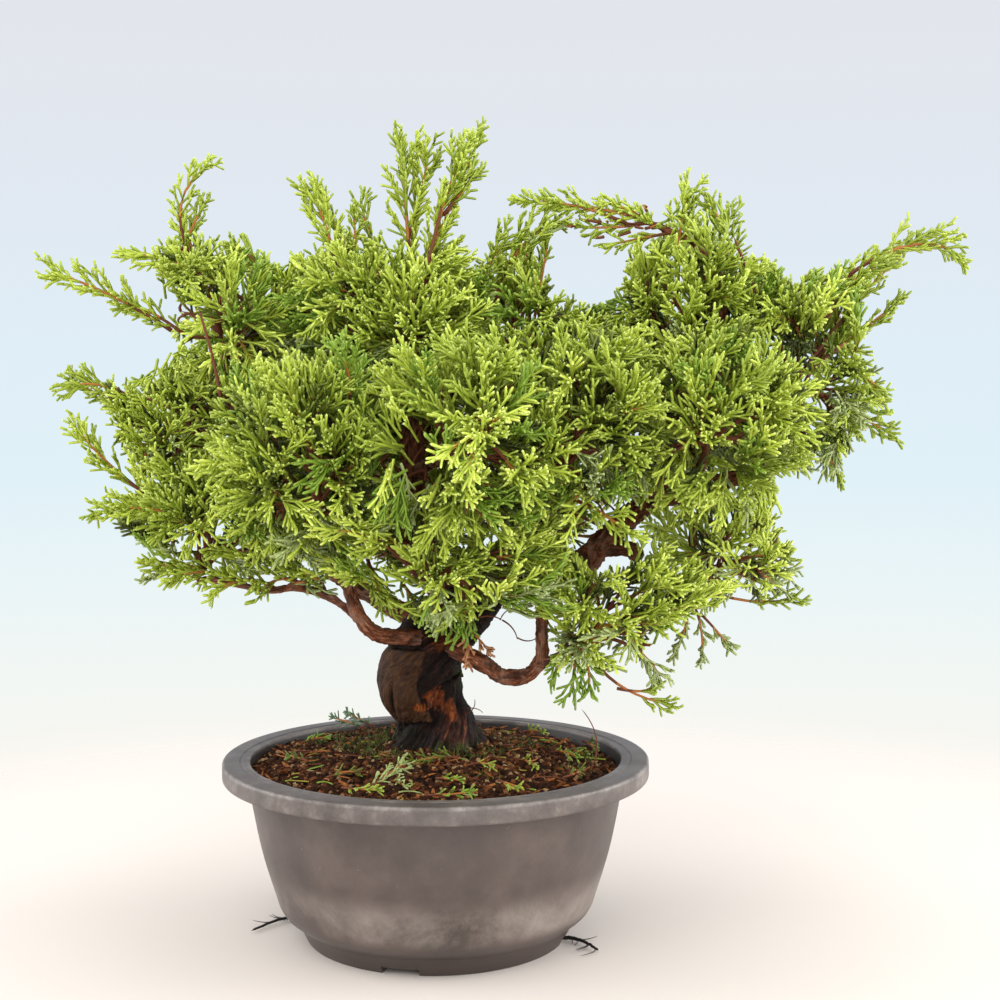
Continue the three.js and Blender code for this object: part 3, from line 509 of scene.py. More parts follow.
# Dry twigs in the hollow before the centre leader: middle, half sizes and how many
HOLLOW = ((-9, -22, 222), (20, 16, 20))
HOLLOW_TWIGS = 22
HOLLOW_REACH = (7, 17)
HOLLOW_THICKNESS = (0.85, 0.4)

STRAY_ROOTS = {
    "left_root": [[-57, 13, 1.2], [-66, 15, 1.4], [-76, 12, 1.8], [-88, -4, 1.2]],
    "right_root": [[56, -13, 1.2], [65, -16, 1.4], [71, -24, 1.6], [75, -31, 1.1]],
}
ROOT_RADIUS = 1.05
ROOT_HAIRS = 7
ROOT_HAIR_RADIUS = 0.36
ROOT_HAIR_REACH = (5, 12)

# Camera, from the circles of the pot's rim and foot in the photograph
CAMERA_PLACE = (30, -760, 252)
CAMERA_PITCH = 3.52
FOCAL_PIXELS = 1627
PICTURE_PIXELS = 1000
SENSOR = 36

# Lights: name, place in metres, size, share of the key's power and colour
LIGHTS = [
    ("key", (-0.6, -1.2, 1.5), 1.6, 1.0, (1.0, 0.97, 0.93)),
    ("fill", (1.2, -0.9, 0.9), 1.2, 0.4, (1.0, 0.98, 0.96)),
    ("low_front", (0.2, -1.3, 0.12), 1.0, 0.36, (1.0, 0.98, 0.96)),
    ("top", (0.1, 0.2, 1.7), 1.3, 0.42, (1.0, 1.0, 1.0)),
    ("left_side", (-1.4, 0.1, 0.5), 1.0, 0.7, (1.0, 0.98, 0.96)),
    ("right_side", (1.4, 0.1, 0.5), 1.0, 0.85, (1.0, 0.98, 0.96)),
]
LIGHT_AIM = (0, 0, 0.18)
# Floor, in metres
FLOOR_RADIUS = 1.6
FLOOR_BELOW = 0.0002
FLOOR_FADE = (0.22, 0.62)
# Colours of the room round the scene, from below to above, up to a share of straight up
ROOM_HEIGHT = 0.4
ROOM = [(0.0, "#fbf3ea"), (0.22, "#f9f5ef"), (0.29, "#f3f7f3"), (0.36, "#ebf5f7"),
        (0.44, "#e1f1f8"), (0.54, "#e0eef7"), (0.64, "#e1e9f2"), (0.78, "#e3e5ec")]


def linear(colour):
    """Linear RGBA of an sRGB hex colour."""
    shares = [int(colour[i:i + 2], 16) / 255 for i in (1, 3, 5)]
    lit = [s / 12.92 if s <= 0.04045 else ((s + 0.055) / 1.055) ** 2.4 for s in shares]
    return (*lit, 1.0)


def place(points):
    """Millimetres round the pot's axis to metres in the frame."""
    return AXIS + np.asarray(points, float) * MM


def unit(vectors):
    """Vectors scaled to length 1."""
    length = np.linalg.norm(vectors, axis=-1, keepdims=True)
    return vectors / np.maximum(length, 1e-9)


def lerp(start, end, share):
    return start + (end - start) * share


def smooth(low, high, value):
    """0 below low, 1 above high and a soft step between."""
    share = np.clip((value - low) / (high - low), 0, 1)
    return share * share * (3 - 2 * share)


def output(value):
    """A node's first output. Anything else stays as it is."""
    return value.outputs[0] if isinstance(value, bpy.types.Node) else value


def add(tree, kind, inputs=None, stops=None, **settings):
    """Adds a node. inputs gives each socket a value, another node's output, or a node for its
    first one. stops gives the places and colours of a ramp."""
    node = tree.nodes.new(kind)
    for name, value in settings.items():
        setattr(node, name, value)
    for name, value in (inputs or {}).items():
        value = output(value)
        if isinstance(value, bpy.types.NodeSocket):
            tree.links.new(value, node.inputs[name])
        else:
            node.inputs[name].default_value = value
    if stops:
        ramp = node.color_ramp.elements
        while len(ramp) < len(stops):
            ramp.new(1.0)
        for element, (position, colour) in zip(ramp, stops):
            element.position = position
            element.color = linear(colour)
    return node


# Sockets of a Mix node that takes colours
MIX_A, MIX_B, MIX_OUT = 6, 7, 2


def finish(name, roughness, specular=0.5):
    """A material with a Principled surface, its tree and its shader."""
    material = bpy.data.materials.new(name)
    material.use_nodes = True
    tree = material.node_tree
    shader = tree.nodes["Principled BSDF"]
    shader.inputs["Roughness"].default_value = roughness
    shader.inputs["Specular IOR Level"].default_value = specular
    return material, tree, shader


def plain(name, colour, roughness, specular=0.5):
    """A finish of one base colour, for leaves and twigs dealt out by spray."""
    material, tree, shader = finish(name, roughness, specular)
    shader.inputs["Base Color"].default_value = linear(colour)
    return material


def coat(tree, shader, colour, layers=(), height=None, strength=0.0, depth=0.0):
    """Colours the surface: layers, each an amount and a colour, lie over the first colour. A
    height gives it relief, so strong and so many millimetres deep."""
    for amount, over in layers:
        if isinstance(over, str):
            over = linear(over)
        colour = add(tree, "ShaderNodeMix", {0: amount, MIX_A: colour, MIX_B: over},
                     data_type="RGBA").outputs[MIX_OUT]
    tree.links.new(output(colour), shader.inputs["Base Color"])
    if height is not None:
        bump = add(tree, "ShaderNodeBump", {
            "Strength": strength, "Distance": depth * MM, "Height": height})
        tree.links.new(bump.outputs[0], shader.inputs["Normal"])


class Path:
    """A smooth curve through points, at equal shares from one point to the next."""

    def __init__(self, points):
        inner = np.array(points, float)
        before = 2 * inner[0] - inner[1]
        after = 2 * inner[-1] - inner[-2]
        self.points = np.vstack([before, inner, after])

    def at(self, share):
        share = np.clip(np.atleast_1d(share).astype(float), 0, 1)
        spans = len(self.points) - 3
        first = np.minimum((share * spans).astype(int), spans - 1)
        rest = (share * spans - first)[:, None]
        a, b, c, d = (self.points[first + k] for k in range(4))
        leave, arrive = (c - a) / 2, (d - b) / 2
        bend = 3 * (c - b) - 2 * leave - arrive
        turn = 2 * (b - c) + leave + arrive
        return b + leave * rest + bend * rest ** 2 + turn * rest ** 3

    def heading(self, share):
        share = np.atleast_1d(share).astype(float)
        step = 1e-4
        return unit(self.at(share + step) - self.at(share - step))

    def length(self):
        marks = self.at(np.linspace(0, 1, 80))
        return np.linalg.norm(np.diff(marks, axis=0), axis=1).sum()


def frames(heads):
    """A side and an across vector for each heading, turned as little as can be."""
    side = np.array(START_SIDE)
    sides = []
    for head in heads:
        side = side - head * side.dot(head)
        side = side / np.linalg.norm(side)
        sides.append(side)
    sides = np.array(sides)
    return sides, np.cross(sides, heads)


class Pieces:
    """Points, triangles and slots gathered for one joined mesh, in millimetres."""

    def __init__(self):
        self.points, self.faces, self.slots = [], [], []
        self.count = 0

    def add(self, points, faces, slots):
        self.points.append(points)
        self.faces.append(faces + self.count)
        self.slots.append(np.broadcast_to(slots, len(faces)))
        self.count += len(points)

    def build(self, name, materials, is_smooth=True):
        return triangle_mesh(name, np.concatenate(self.points), np.concatenate(self.faces),
                             materials, np.concatenate(self.slots), is_smooth)


def link_object(name, data):
    """Puts a mesh, lamp or camera in the scene as an object."""
    obj = bpy.data.objects.new(name, data)
    bpy.context.scene.collection.objects.link(obj)
    return obj


def triangle_mesh(name, points, faces, materials, slots=None, is_smooth=True):
    """An object of triangles, placed in the frame."""
    mesh = bpy.data.meshes.new(name)
    mesh.vertices.add(len(points))
    mesh.vertices.foreach_set("co", place(points).astype(np.float32).ravel())
    mesh.loops.add(faces.size)
    mesh.loops.foreach_set("vertex_index", faces.astype(np.int32).ravel())
    mesh.polygons.add(len(faces))
    mesh.polygons.foreach_set("loop_start", np.arange(0, faces.size, 3, dtype=np.int32))
    for material in materials:
        mesh.materials.append(material)
    if slots is not None:
        mesh.polygons.foreach_set("material_index", slots.astype(np.int32))
    mesh.polygons.foreach_set("use_smooth", np.full(len(faces), is_smooth))
    mesh.update(calc_edges=True)
    mesh.validate()
    return link_object(name, mesh)


def set_attribute(obj, name, values):
    """A named number or vector for each point, which a material or a scatter reads."""
    kind, key = ("FLOAT", "value") if values.ndim == 1 else ("FLOAT_VECTOR", "vector")
    attribute = obj.data.attributes.new(name, kind, "POINT")
    attribute.data.foreach_set(key, values.astype(np.float32).ravel())


def keep(obj, slot, *nodes):
    """The piece rides on the plant's one body and replaces nodes; its slot is not used."""
    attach(obj, BODY)
    if nodes:
        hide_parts(*nodes)
    return obj


def tube_faces(rows, columns):
    """Triangles between rings of points, with a closing point after the rings at each end."""
    row = np.arange(rows - 1)[:, None] * columns
    here = np.arange(columns)[None, :]
    after = (here + 1) % columns
    a, b = row + here, row + after
    c, d = b + columns, a + columns
    sides = np.concatenate([np.stack([a, b, c], -1), np.stack([a, c, d], -1)]).reshape(-1, 3)
    ring = np.arange(columns)
    following = (ring + 1) % columns
    first, last = rows * columns, rows * columns + 1
    start = np.stack([np.full(columns, first), following, ring], -1)
    top = (rows - 1) * columns
    end = np.stack([np.full(columns, last), top + ring, top + following], -1)
    return np.concatenate([sides, start, end])


def angles_round(count):
    """Equal steps round a circle."""
    return np.arange(count) * 2 * math.pi / count


def spokes(side, across, angle):
    """Directions at each angle round every ring of one tube or more."""
    return (side[..., None, :] * np.cos(angle)[:, None]
            + across[..., None, :] * np.sin(angle)[:, None])


def wrap(middles, radii):
    """Points of a closed tube round many middles, with a radius for each point."""
    heads = unit(np.gradient(middles, axis=0))
    sides, across = frames(heads)
    outward = spokes(sides, -across, angles_round(radii.shape[1]))
    ring = middles[:, None] + outward * radii[..., None]
    return np.vstack([ring.reshape(-1, 3), middles[0], middles[-1]])


def noise_at(points, scale, shift=(0, 0, 0), octaves=0, dimension=0.8):
    """Smooth noise at many points, which is fractal where it has octaves."""
    places = [Vector(point) for point in (points * scale + shift).tolist()]
    if octaves:
        return np.array([noise.fractal(point, dimension, 2.0, octaves) for point in places])
    return np.array([noise.noise(point) for point in places])


# Limbs and where they run
PATHS = {"trunk": (Path(TRUNK), (TRUNK_RADIUS, TRUNK_TIP_RADIUS))}
for limb_name, parent_name, share_up, limb_radii, limb_points in LIMBS:
    start_point = PATHS[parent_name][0].at(share_up)[0]
    PATHS[limb_name] = (Path([start_point, *limb_points]), limb_radii)


def limb_marks():
    """Points along every limb with the radius there, which twigs keep clear of."""
    marks, widths = [], []
    for path, radii in PATHS.values():
        share = np.linspace(0, 1, max(3, math.ceil(path.length() / 2)))
        marks.append(path.at(share))
        widths.append(lerp(radii[0], radii[1], share))
    return np.vstack(marks), np.concatenate(widths)


def clear_of_limbs(points, marks, widths):
    """Which points lie outside every limb."""
    clear = np.ones(len(points), bool)
    for begin in range(0, len(points), 4000):
        part = points[begin:begin + 4000]
        apart = np.linalg.norm(part[:, None] - marks[None], axis=2)
        clear[begin:begin + 4000] = (apart > widths + TWIG_CLEARANCE).all(axis=1)
    return clear


def ratios(points):
    """How far each point lies from each mass's centre, as a share of its radii."""
    return np.linalg.norm((points[:, None] - CENTRES[None]) / RADII[None], axis=2)


def curve_at(start, bend, end, share):
    """Points on many curves, each from start to end and drawn to its bend."""
    share = share[:, None]
    return (1 - share) ** 2 * start + 2 * share * (1 - share) * bend + share ** 2 * end


def curve_marks(start, bend, end, shares):
    """Points at the same shares of many curves, curves x shares x 3."""
    return np.stack([curve_at(start, bend, end, np.full(len(start), s)) for s in shares], 1)


def curve_heading(start, bend, end, share):
    share = share[:, None]
    return unit((1 - share) * (bend - start) + share * (end - bend))


def many_tubes(pieces, marks, radii, sides, slots):
    """Adds many like tubes at once. marks is tubes x rings x 3, radii tubes x rings, and slots
    one for all or for each ring's band. The last ring closes to a point."""
    tubes, rings, _ = marks.shape
    heads = unit(np.gradient(marks, axis=1))
    reference = np.where(np.abs(heads[..., 2:3]) > 0.9, [1.0, 0, 0], [0, 0, 1.0])
    side = unit(np.cross(heads, reference))
    outward = spokes(side, np.cross(heads, side), angles_round(sides))
    full = rings - 1
    each = full * sides + 1
    ring = marks[:, :full, None] + outward[:, :full] * radii[:, :full, None, None]
    points = np.concatenate([ring.reshape(tubes, full * sides, 3), marks[:, -1:]], axis=1)
    faces, bands = [], []
    for row in range(full - 1):
        for k in range(sides):
            a, b = row * sides + k, row * sides + (k + 1) % sides
            faces += [(a, b, b + sides), (a, b + sides, a + sides)]
            bands += [row, row]
    last = (full - 1) * sides
    faces += [(last + k, last + (k + 1) % sides, each - 1) for k in range(sides)]
    faces += [(0, k + 1, k) for k in range(1, sides - 1)]
    bands += [full - 1] * sides + [0] * (sides - 2)
    all_faces = np.array(faces)[None] + (np.arange(tubes) * each)[:, None, None]
    slots = np.broadcast_to(slots, (tubes, full))
    pieces.add(points.reshape(-1, 3), all_faces.reshape(-1, 3), slots[:, bands].reshape(-1))


def numbered(counts):
    """For so many things on each owner, whose each one is and which of its owner's it is."""
    order = np.concatenate([np.arange(count) for count in counts])
    return np.repeat(np.arange(len(counts)), counts), order


def facing_up(chance, count):
    """Random directions for the flat side of stems, more of them upward."""
    return unit(chance.normal(0, 1, (count, 3)) + [0, 0, FACING_UP])


def one_stem(start, bend, end):
    """A single stem, in the form that many are kept in."""
    return {"start": np.array([start], float), "bend": np.array([bend], float),
            "end": np.array([end], float)}


class Growth:
    """Side twigs and scale-leaf cords on many stems at once, by one seeded rule. Stems and twigs
    are curves from a start to an end, drawn to a bend between them."""

    def __init__(self, settings):
        for name in ("cord_radius", "cord_length", "cord_spacing", "twig_length",
                     "twig_spacing"):
            setattr(self, name, getattr(settings, name) / MM)
        self.marks, self.widths = limb_marks()

    def side_twigs(self, stems, chance, spacing, length, from_share):
        """Side twigs set alternately on each stem, from a share of its length to its tip, and
        the stem's own leafy end."""
        start, bend, end = stems["start"], stems["bend"], stems["end"]
        size = np.linalg.norm(end - start, axis=1)
        counts = np.maximum(2, (size * (1 - from_share) / spacing).astype(int))
        owner, order = numbered(counts)
        share = 1 - (order + 0.35) * spacing / size[owner]
        share = np.clip(share + chance.normal(0, 0.012, len(share)), 0.02, 0.995)
        root = curve_at(start[owner], bend[owner], end[owner], share)
        head = curve_heading(start[owner], bend[owner], end[owner], share)
        flat = unit(np.cross(head, stems["facing"][owner]))
        turn = (order % 2) * math.pi + chance.normal(0, TWIG_ROLL, len(share))
        side = flat * np.cos(turn)[:, None] + np.cross(head, flat) * np.sin(turn)[:, None]
        spread = np.radians(chance.uniform(*TWIG_SPREAD, len(share)))[:, None]
        out = unit(head * np.cos(spread) + side * np.sin(spread))
        along = order / counts[owner]
        shape = 0.45 + 0.85 * np.sin(np.pi * np.clip(along * 0.8 + 0.12, 0, 1))
        reach = length * shape * chance.uniform(*TWIG_REACH, len(share))
        tip = root + (out * TWIG_OUT + head * TWIG_ONWARD) * reach[:, None]
        tip[:, 2] += TWIG_LIFT * reach
        middle = root + out * (TWIG_BEND * reach)[:, None]

        tail = np.clip(1 - 1.1 * length / size, 0.3, 0.9)
        end_root = curve_at(start, bend, end, tail)
        end_middle = bend + (end - bend) * tail[:, None]
        end_head = unit(np.cross(end - end_root, stems["facing"]))
        end_reach = np.linalg.norm(end - end_root, axis=1)
        return {"root": np.vstack([root, end_root]), "middle": np.vstack([middle, end_middle]),
                "tip": np.vstack([tip, end]), "head": np.vstack([head, end_head]),
                "reach": np.append(reach, end_reach),
                "owner": np.append(owner, np.arange(len(size))),
                "share": np.append(share, np.ones(len(size)))}

    def keep_in_space(self, twigs, mass_index):
        """Drops the twigs that leave their mass's space, stand in open sky or touch a limb."""
        near = ratios(twigs["tip"])
        own = near[:, mass_index].copy()
        near[:, mass_index] = np.inf
        ok = own < near.min(axis=1) + MINGLE
        ok &= ~in_view_of_sky(twigs["tip"])
        ok &= clear_of_limbs(twigs["tip"], self.marks, self.widths)
        ok &= clear_of_limbs(twigs["middle"], self.marks, self.widths)
        return {key: value[ok] for key, value in twigs.items()}

    def cords(self, twigs, chance, longest):
        """Scale-leaf cords set alternately on the side twigs, shorter towards their tips."""
        root, middle, tip = twigs["root"], twigs["middle"], twigs["tip"]
        counts = np.maximum(3, (twigs["reach"] * 0.92 / self.cord_spacing).astype(int))
        owner, order = numbered(counts)
        share = 0.98 - 0.72 * (order + chance.uniform(0, 0.5, len(order))) / counts[owner]
        foot = curve_at(root[owner], middle[owner], tip[owner], share)
        head = curve_heading(root[owner], middle[owner], tip[owner], share)
        plane = twigs["head"][owner] + chance.normal(0, CORD_ROLL, (len(owner), 3))
        flat = unit(plane - head * (plane * head).sum(1, keepdims=True))
        sign = np.where(order % 2, 1.0, -1.0)[:, None]
        spread = np.radians(chance.uniform(*CORD_SPREAD, len(order)))[:, None]
        out = unit(head * np.cos(spread) + flat * sign * np.sin(spread))
        size = longest * (1.08 - 0.6 * share) * chance.uniform(*CORD_REACH, len(order))
        return foot, out, head, size[:, None], owner

    def dress(self, pieces, twigs, kinds, chance, longest=None):
        """Adds the twigs' own cords and the cords on them as meshes, each with a paler tip."""
        if not len(kinds):
            return
        marks = curve_marks(twigs["root"], twigs["middle"], twigs["tip"], (0, 0.5, 0.93, 1))
        thick = self.cord_radius * chance.uniform(0.9, 1.15, len(kinds))
        radii = thick[:, None] * np.array([1.0, 0.98, 0.9, 0])
        body, bright = 2 * kinds, 2 * kinds + 1
        many_tubes(pieces, marks, radii, 3, np.stack([body, body, bright], 1))

        foot, out, head, size, owner = self.cords(twigs, chance, longest or self.cord_length)
        turn = unit(out + head * 0.35)
        bent = foot + out * size * 0.5 + turn * size * 0.36
        marks = np.stack([foot, bent, bent + turn * size * 0.14], axis=1)
        thick = self.cord_radius * chance.uniform(0.85, 1.12, len(foot))
        radii = thick[:, None] * np.array([0.9, 0.92, 0])
        many_tubes(pieces, marks, radii, 3, np.stack([body[owner], bright[owner]], 1))


def stem_tubes(pieces, stems, until, first, last, rings, sides, slots):
    """Woody tubes along stems, each up to a share of its length."""
    start, bend, end = stems["start"], stems["bend"], stems["end"]
    stop = curve_at(start, bend, end, until)
    bent = start + (bend - start) * until[:, None]
    shares = np.linspace(0, 1, rings)
    widths = np.repeat(lerp(first, last, shares)[None], len(start), 0)
    many_tubes(pieces, curve_marks(start, bent, stop, shares), widths, sides, slots)


def seen_from_front(points):
    """Where the camera sees points on the plane y = 0, across and up."""
    eye = np.array(CAMERA_PLACE, float)
    share = -eye[1] / (points[:, 1] - eye[1])
    return (eye + (points - eye) * share[:, None])[:, [0, 2]]


def within(seen, spots):
    """Which places of the front view lie in any of the oval spots."""
    found = np.zeros(len(seen), bool)
    for across, up, half_width, half_height in spots:
        apart = np.hypot((seen[:, 0] - across) / half_width, (seen[:, 1] - up) / half_height)
        found |= apart < 1
    return found


def inside_crown(seen):
    """Which places of the front view lie inside the edge of the dense crown."""
    inside = np.zeros(len(seen), bool)
    for (x, z), (next_x, next_z) in zip(CROWN_EDGE, CROWN_EDGE[1:] + CROWN_EDGE[:1]):
        if z != next_z:
            between = (z > seen[:, 1]) != (next_z > seen[:, 1])
            crossing = x + (seen[:, 1] - z) * (next_x - x) / (next_z - z)
            inside ^= between & (seen[:, 0] < crossing)
    return inside


def in_view_of_sky(points):
    """Which points the front view shows where the photograph shows sky or a bare bough."""
    seen = seen_from_front(points)
    before = points[:, 1] < BARE_BEFORE
    return ~inside_crown(seen) | within(seen, SKY) | (within(seen, BARE) & before)


def share_hidden(stems):
    """How far along each stem it stays out of the open sky."""
    until = np.full(len(stems["start"]), 0.1)
    hidden = np.ones(len(until), bool)
    for share in np.linspace(0.1, 1, 10):
        at = curve_at(stems["start"], stems["bend"], stems["end"], np.full(len(until), share))
        hidden &= ~in_view_of_sky(at)
        until[hidden] = share
    return until


RED_BROWN, NEW_ORANGE, GREEN_END = range(3)


def fan(count, turn):
    """Directions spread evenly round a ball by the golden angle."""
    i = np.arange(count)
    height = 1 - 2 * (i + 0.5) / count
    angle = i * GOLDEN_ANGLE + turn
    flat = np.sqrt(1 - height ** 2)
    return np.column_stack([flat * np.cos(angle), flat * np.sin(angle), height])


def grow_mass(index, growth, sprays, wood):
    """One mass: a stem, branches fanned out of it, leaders on them, side twigs and cords."""
    _, bough, centre, radii, _, _, shoots = MASSES[index]
    seed = index + 1
    chance = np.random.default_rng(seed)
    centre, radii = np.array(centre, float), np.array(radii, float)
    path, bough_radii = PATHS[bough]
    foot, onward = path.at(1)[0], path.heading(1)[0]
    hub = lerp(foot, centre, HUB_SHARE)
    stem = Path([foot - onward, foot + onward * STEM_LEAD / 2, hub])
    thin = min(1.0, radii.min() / 40)

    # Stem and branches
    share = np.linspace(0, 1, 7)
    stem_radii = lerp(bough_radii[1], 1.5 * thin, share)[None]
    many_tubes(wood, stem.at(share)[None], stem_radii, 7, RED_BROWN)
    branch_start = stem.at(chance.uniform(*BRANCH_STARTS, BRANCHES))
    spread = chance.uniform(0.85, 1.15, (BRANCHES, 1))
    branch_end = centre + fan(BRANCHES, seed + 0.7) * radii * BRANCH_REACH * spread
    outward = unit(branch_end - branch_start)
    branch_bend = lerp(branch_start, branch_end, 0.5) + chance.normal(0, 3, (BRANCHES, 3))
    branch_bend += unit(hub - foot) * 3
    branches = {"start": branch_start, "bend": branch_bend, "end": branch_end,
                "facing": facing_up(chance, BRANCHES)}
    stem_tubes(wood, branches, share_hidden(branches), BRANCH_RADIUS * thin,
               BRANCH_TIP_RADIUS * thin, 6, 5, RED_BROWN)
    inner = growth.side_twigs(branches, chance, INNER_SPACING * growth.twig_spacing,
                              growth.twig_length, BRANCH_BARE)
    inner = growth.keep_in_space(inner, index)
    shade = np.where(chance.uniform(0, 1, len(inner["root"])) < DEEP_SHARE, DEEP, OLIVE)
    growth.dress(sprays, inner, shade, chance)

    # Leaders
    mean_area = (radii[0] * radii[1] + radii[1] * radii[2] + radii[2] * radii[0]) / 3
    count = round(mean_area / AREA_PER_LEADER)
    reach = chance.uniform(*LEADER_REACH, count)[:, None]
    end = centre + fan(count, seed) * radii * reach
    apart = np.linalg.norm(end[:, None] - branch_end[None], axis=2)
    branch = np.argmin(apart + chance.uniform(0, 6, apart.shape), axis=1)
    at = chance.uniform(*LEADER_STARTS, count)
    start = curve_at(branch_start[branch], branch_bend[branch], branch_end[branch], at)
    size = np.linalg.norm(end - start, axis=1, keepdims=True)
    bend = start + outward[branch] * size * 0.3 + (end - start) * 0.3
    bend[:, 2] -= 0.05 * size[:, 0]
    end[:, 2] += 0.06 * size[:, 0]
    leaders = {"start": start, "bend": bend, "end": end, "facing": facing_up(chance, count)}
    twigs = growth.side_twigs(leaders, chance, growth.twig_spacing, growth.twig_length,
                              LEADER_BARE)
    twigs = growth.keep_in_space(twigs, index)
    growth.dress(sprays, twigs, deal_kinds(twigs, index, chance, count), chance)
    reached = np.zeros(count)
    np.maximum.at(reached, twigs["owner"], twigs["share"])
    reached = np.minimum(reached, share_hidden(leaders))
    held = reached > 0.3
    if not held.any():
        reached[:], held[:] = 0.4, True
    kept = {key: value[held] for key, value in leaders.items()}
    tone = np.where(chance.uniform(0, 1, held.sum()) < ORANGE_SHARE, NEW_ORANGE, RED_BROWN)
    brown = np.full(held.sum(), RED_BROWN)
    stem_tubes(wood, kept, reached[held], LEADER_RADIUS, LEADER_TIP_RADIUS, 6, 4,
               np.stack([brown, brown, tone, tone, np.full(held.sum(), GREEN_END)], 1))

    # Long shoots of the frame, then the ones that only the photograph shows
    traced = SHOOTS.get(MASSES[index][0], [])
    for x, y, z, arch in shoots:
        end = np.array([x, y, z], float)
        if all(np.linalg.norm(end - shoot[2]) >= SHOOT_APART for shoot in traced):
            bend = lerp(hub, end, 0.55) + [0, 0, arch]
            grow_shoot(growth, sprays, wood, chance, hub, bend, end, *FRAME_SHOOT)
    for shoot in traced:
        grow_shoot(growth, sprays, wood, chance, *shoot)


def grow_shoot(growth, sprays, wood, chance, start, bend, end, width, kind, bare=0.1,
               longest=None):
    """One long leafy shoot with a bare red-brown base and a new orange stem."""
    stem = one_stem(start, bend, end)
    stem["facing"] = unit(chance.normal(0, 0.5, (1, 3)) + [0, -0.8, 0.6])
    twigs = growth.side_twigs(stem, chance, 0.95 * growth.twig_spacing, width, bare)
    other = GREEN if kind == FRESH else kind
    kinds = np.where(chance.uniform(0, 1, len(twigs["root"])) < 0.72, kind, other)
    longest = longest or 0.6 * growth.cord_length + 0.25 * width
    growth.dress(sprays, twigs, kinds, chance, longest)
    stem_tubes(wood, stem, np.ones(1), 0.5 + 0.06 * width, 0.42, 9, 5,
               [RED_BROWN] * 3 + [NEW_ORANGE] * 4 + [GREEN_END])


def soil_height(across):
    """How high the soil lies at a distance from the pot's axis."""
    return np.interp(across, [0, SOIL_TABLE_RADIUS, SOIL_SHOULDER_RADIUS, SOIL_EDGE_RADIUS],
                     [SOIL_TOP, SOIL_TOP, SOIL_SHOULDER, SOIL_EDGE])


def scatter_litter(fallen, wood):
    """Loose scale-leaf cords, most of them green, and dry twigs that lie on the soil."""
    chance = np.random.default_rng(79)
    across = LITTER_RADIUS * np.sqrt(chance.uniform(0.1, 1, LITTER))
    angle = chance.uniform(0, 2 * math.pi, LITTER)
    middle = np.stack([across * np.cos(angle), across * np.sin(angle),
                       soil_height(across) + 0.9], -1)
    heading = chance.uniform(0, 2 * math.pi, LITTER)
    reach = chance.uniform(*LITTER_LENGTHS, (LITTER, 1)) / 2
    slope = chance.normal(0, 0.1, LITTER)
    half = np.stack([np.cos(heading), np.sin(heading), slope], -1) * reach
    sideways = np.stack([-half[:, 1], half[:, 0], 0.3 * reach[:, 0]], -1)
    bend = middle + sideways * chance.normal(0, 0.5, (LITTER, 1))
    bits = {"start": middle - half, "bend": bend, "end": middle + half}
    share = chance.uniform(0, 1, LITTER)
    shared_out = ((wood, 0.42, RED_BROWN), (wood, 0.68, NEW_ORANGE), (wood, 0.8, GREEN_END),
                  (fallen, 0.86, 2 * GREY), (fallen, 0.94, 2 * EMERALD), (fallen, 1, 2 * GREEN))
    first = 0
    for pieces, last, slot in shared_out:
        chosen = (share >= first) & (share < last)
        some = {key: value[chosen] for key, value in bits.items()}
        stem_tubes(pieces, some, np.ones(chosen.sum()), LITTER_THICKNESS,
                   0.7 * LITTER_THICKNESS, 6, 4, slot)
        first = last


def deal_kinds(twigs, index, chance, leader_count):
    """The kind of leaf of each side twig: paler outside and above and deep inside, partly the
    leaves' own age and partly painted light and shade, and greyer below.
    """
    centre, radii, more_light, greyer = MASSES[index][2:6]
    middle = (twigs["tip"] - centre) / np.array(radii, float)
    outer = np.linalg.norm(middle, axis=1)
    owner = twigs["owner"]
    mood = chance.normal(0, 0.22, leader_count)[owner]
    # Painted light and shade besides the leaves' own age: more light out at the mass's edge
    light = 0.75 * outer - 0.1 * middle[:, 2] + mood + chance.normal(0, 0.08, len(outer))
    light += more_light
    kinds = np.full(len(outer), OLIVE)
    for least, kind in LIGHT_STEPS:
        kinds[light > least] = kind
    kinds[light < DEEP_BELOW] = DEEP
    rich = (chance.uniform(0, 1, leader_count) < EMERALD_SHARE)[owner] & (kinds != DEEP)
    kinds[rich & (light < EMERALD_BELOW)] = EMERALD
    dull = (chance.uniform(0, 1, leader_count) < greyer)[owner]
    under = (middle[:, 2] < -0.2) & dull & (chance.uniform(0, 1, len(outer)) < GREY_SHARE)
    kinds[under & (kinds != DEEP)] = GREY
    return kinds


def leaf_materials():
    """Body and tip of every kind of scale leaf, slightly waxy."""
    materials = []
    for kind, (body, tip) in LEAF_KINDS.items():
        materials.append(plain(f"scale_leaf_{kind}", body, 0.5, 0.4))
        materials.append(plain(f"scale_leaf_{kind}_tip", tip, 0.48, 0.4))
    return materials


def twig_materials():
    """Red-brown old twigs, orange-brown new stems and green growing ends."""
    return [plain("twig_red_brown", "#693822", 0.7, 0.3),
            plain("twig_new_orange", "#a5652f", 0.6, 0.35),
            plain("twig_green_end", "#9c8a34", 0.55, 0.35)]


def bark_strips(tree, stretch, scale, detail, distortion):
    """The bark's own coordinates, the same drawn out along the wood, and its coarse strips."""
    grain = add(tree, "ShaderNodeAttribute", attribute_name="grain").outputs["Vector"]
    drawn_out = add(tree, "ShaderNodeMapping", {"Vector": grain, "Scale": stretch})
    strips = add(tree, "ShaderNodeTexNoise", {
        "Vector": drawn_out, "Scale": scale, "Detail": detail, "Roughness": 0.66,
        "Distortion": distortion})
    return grain, drawn_out, strips


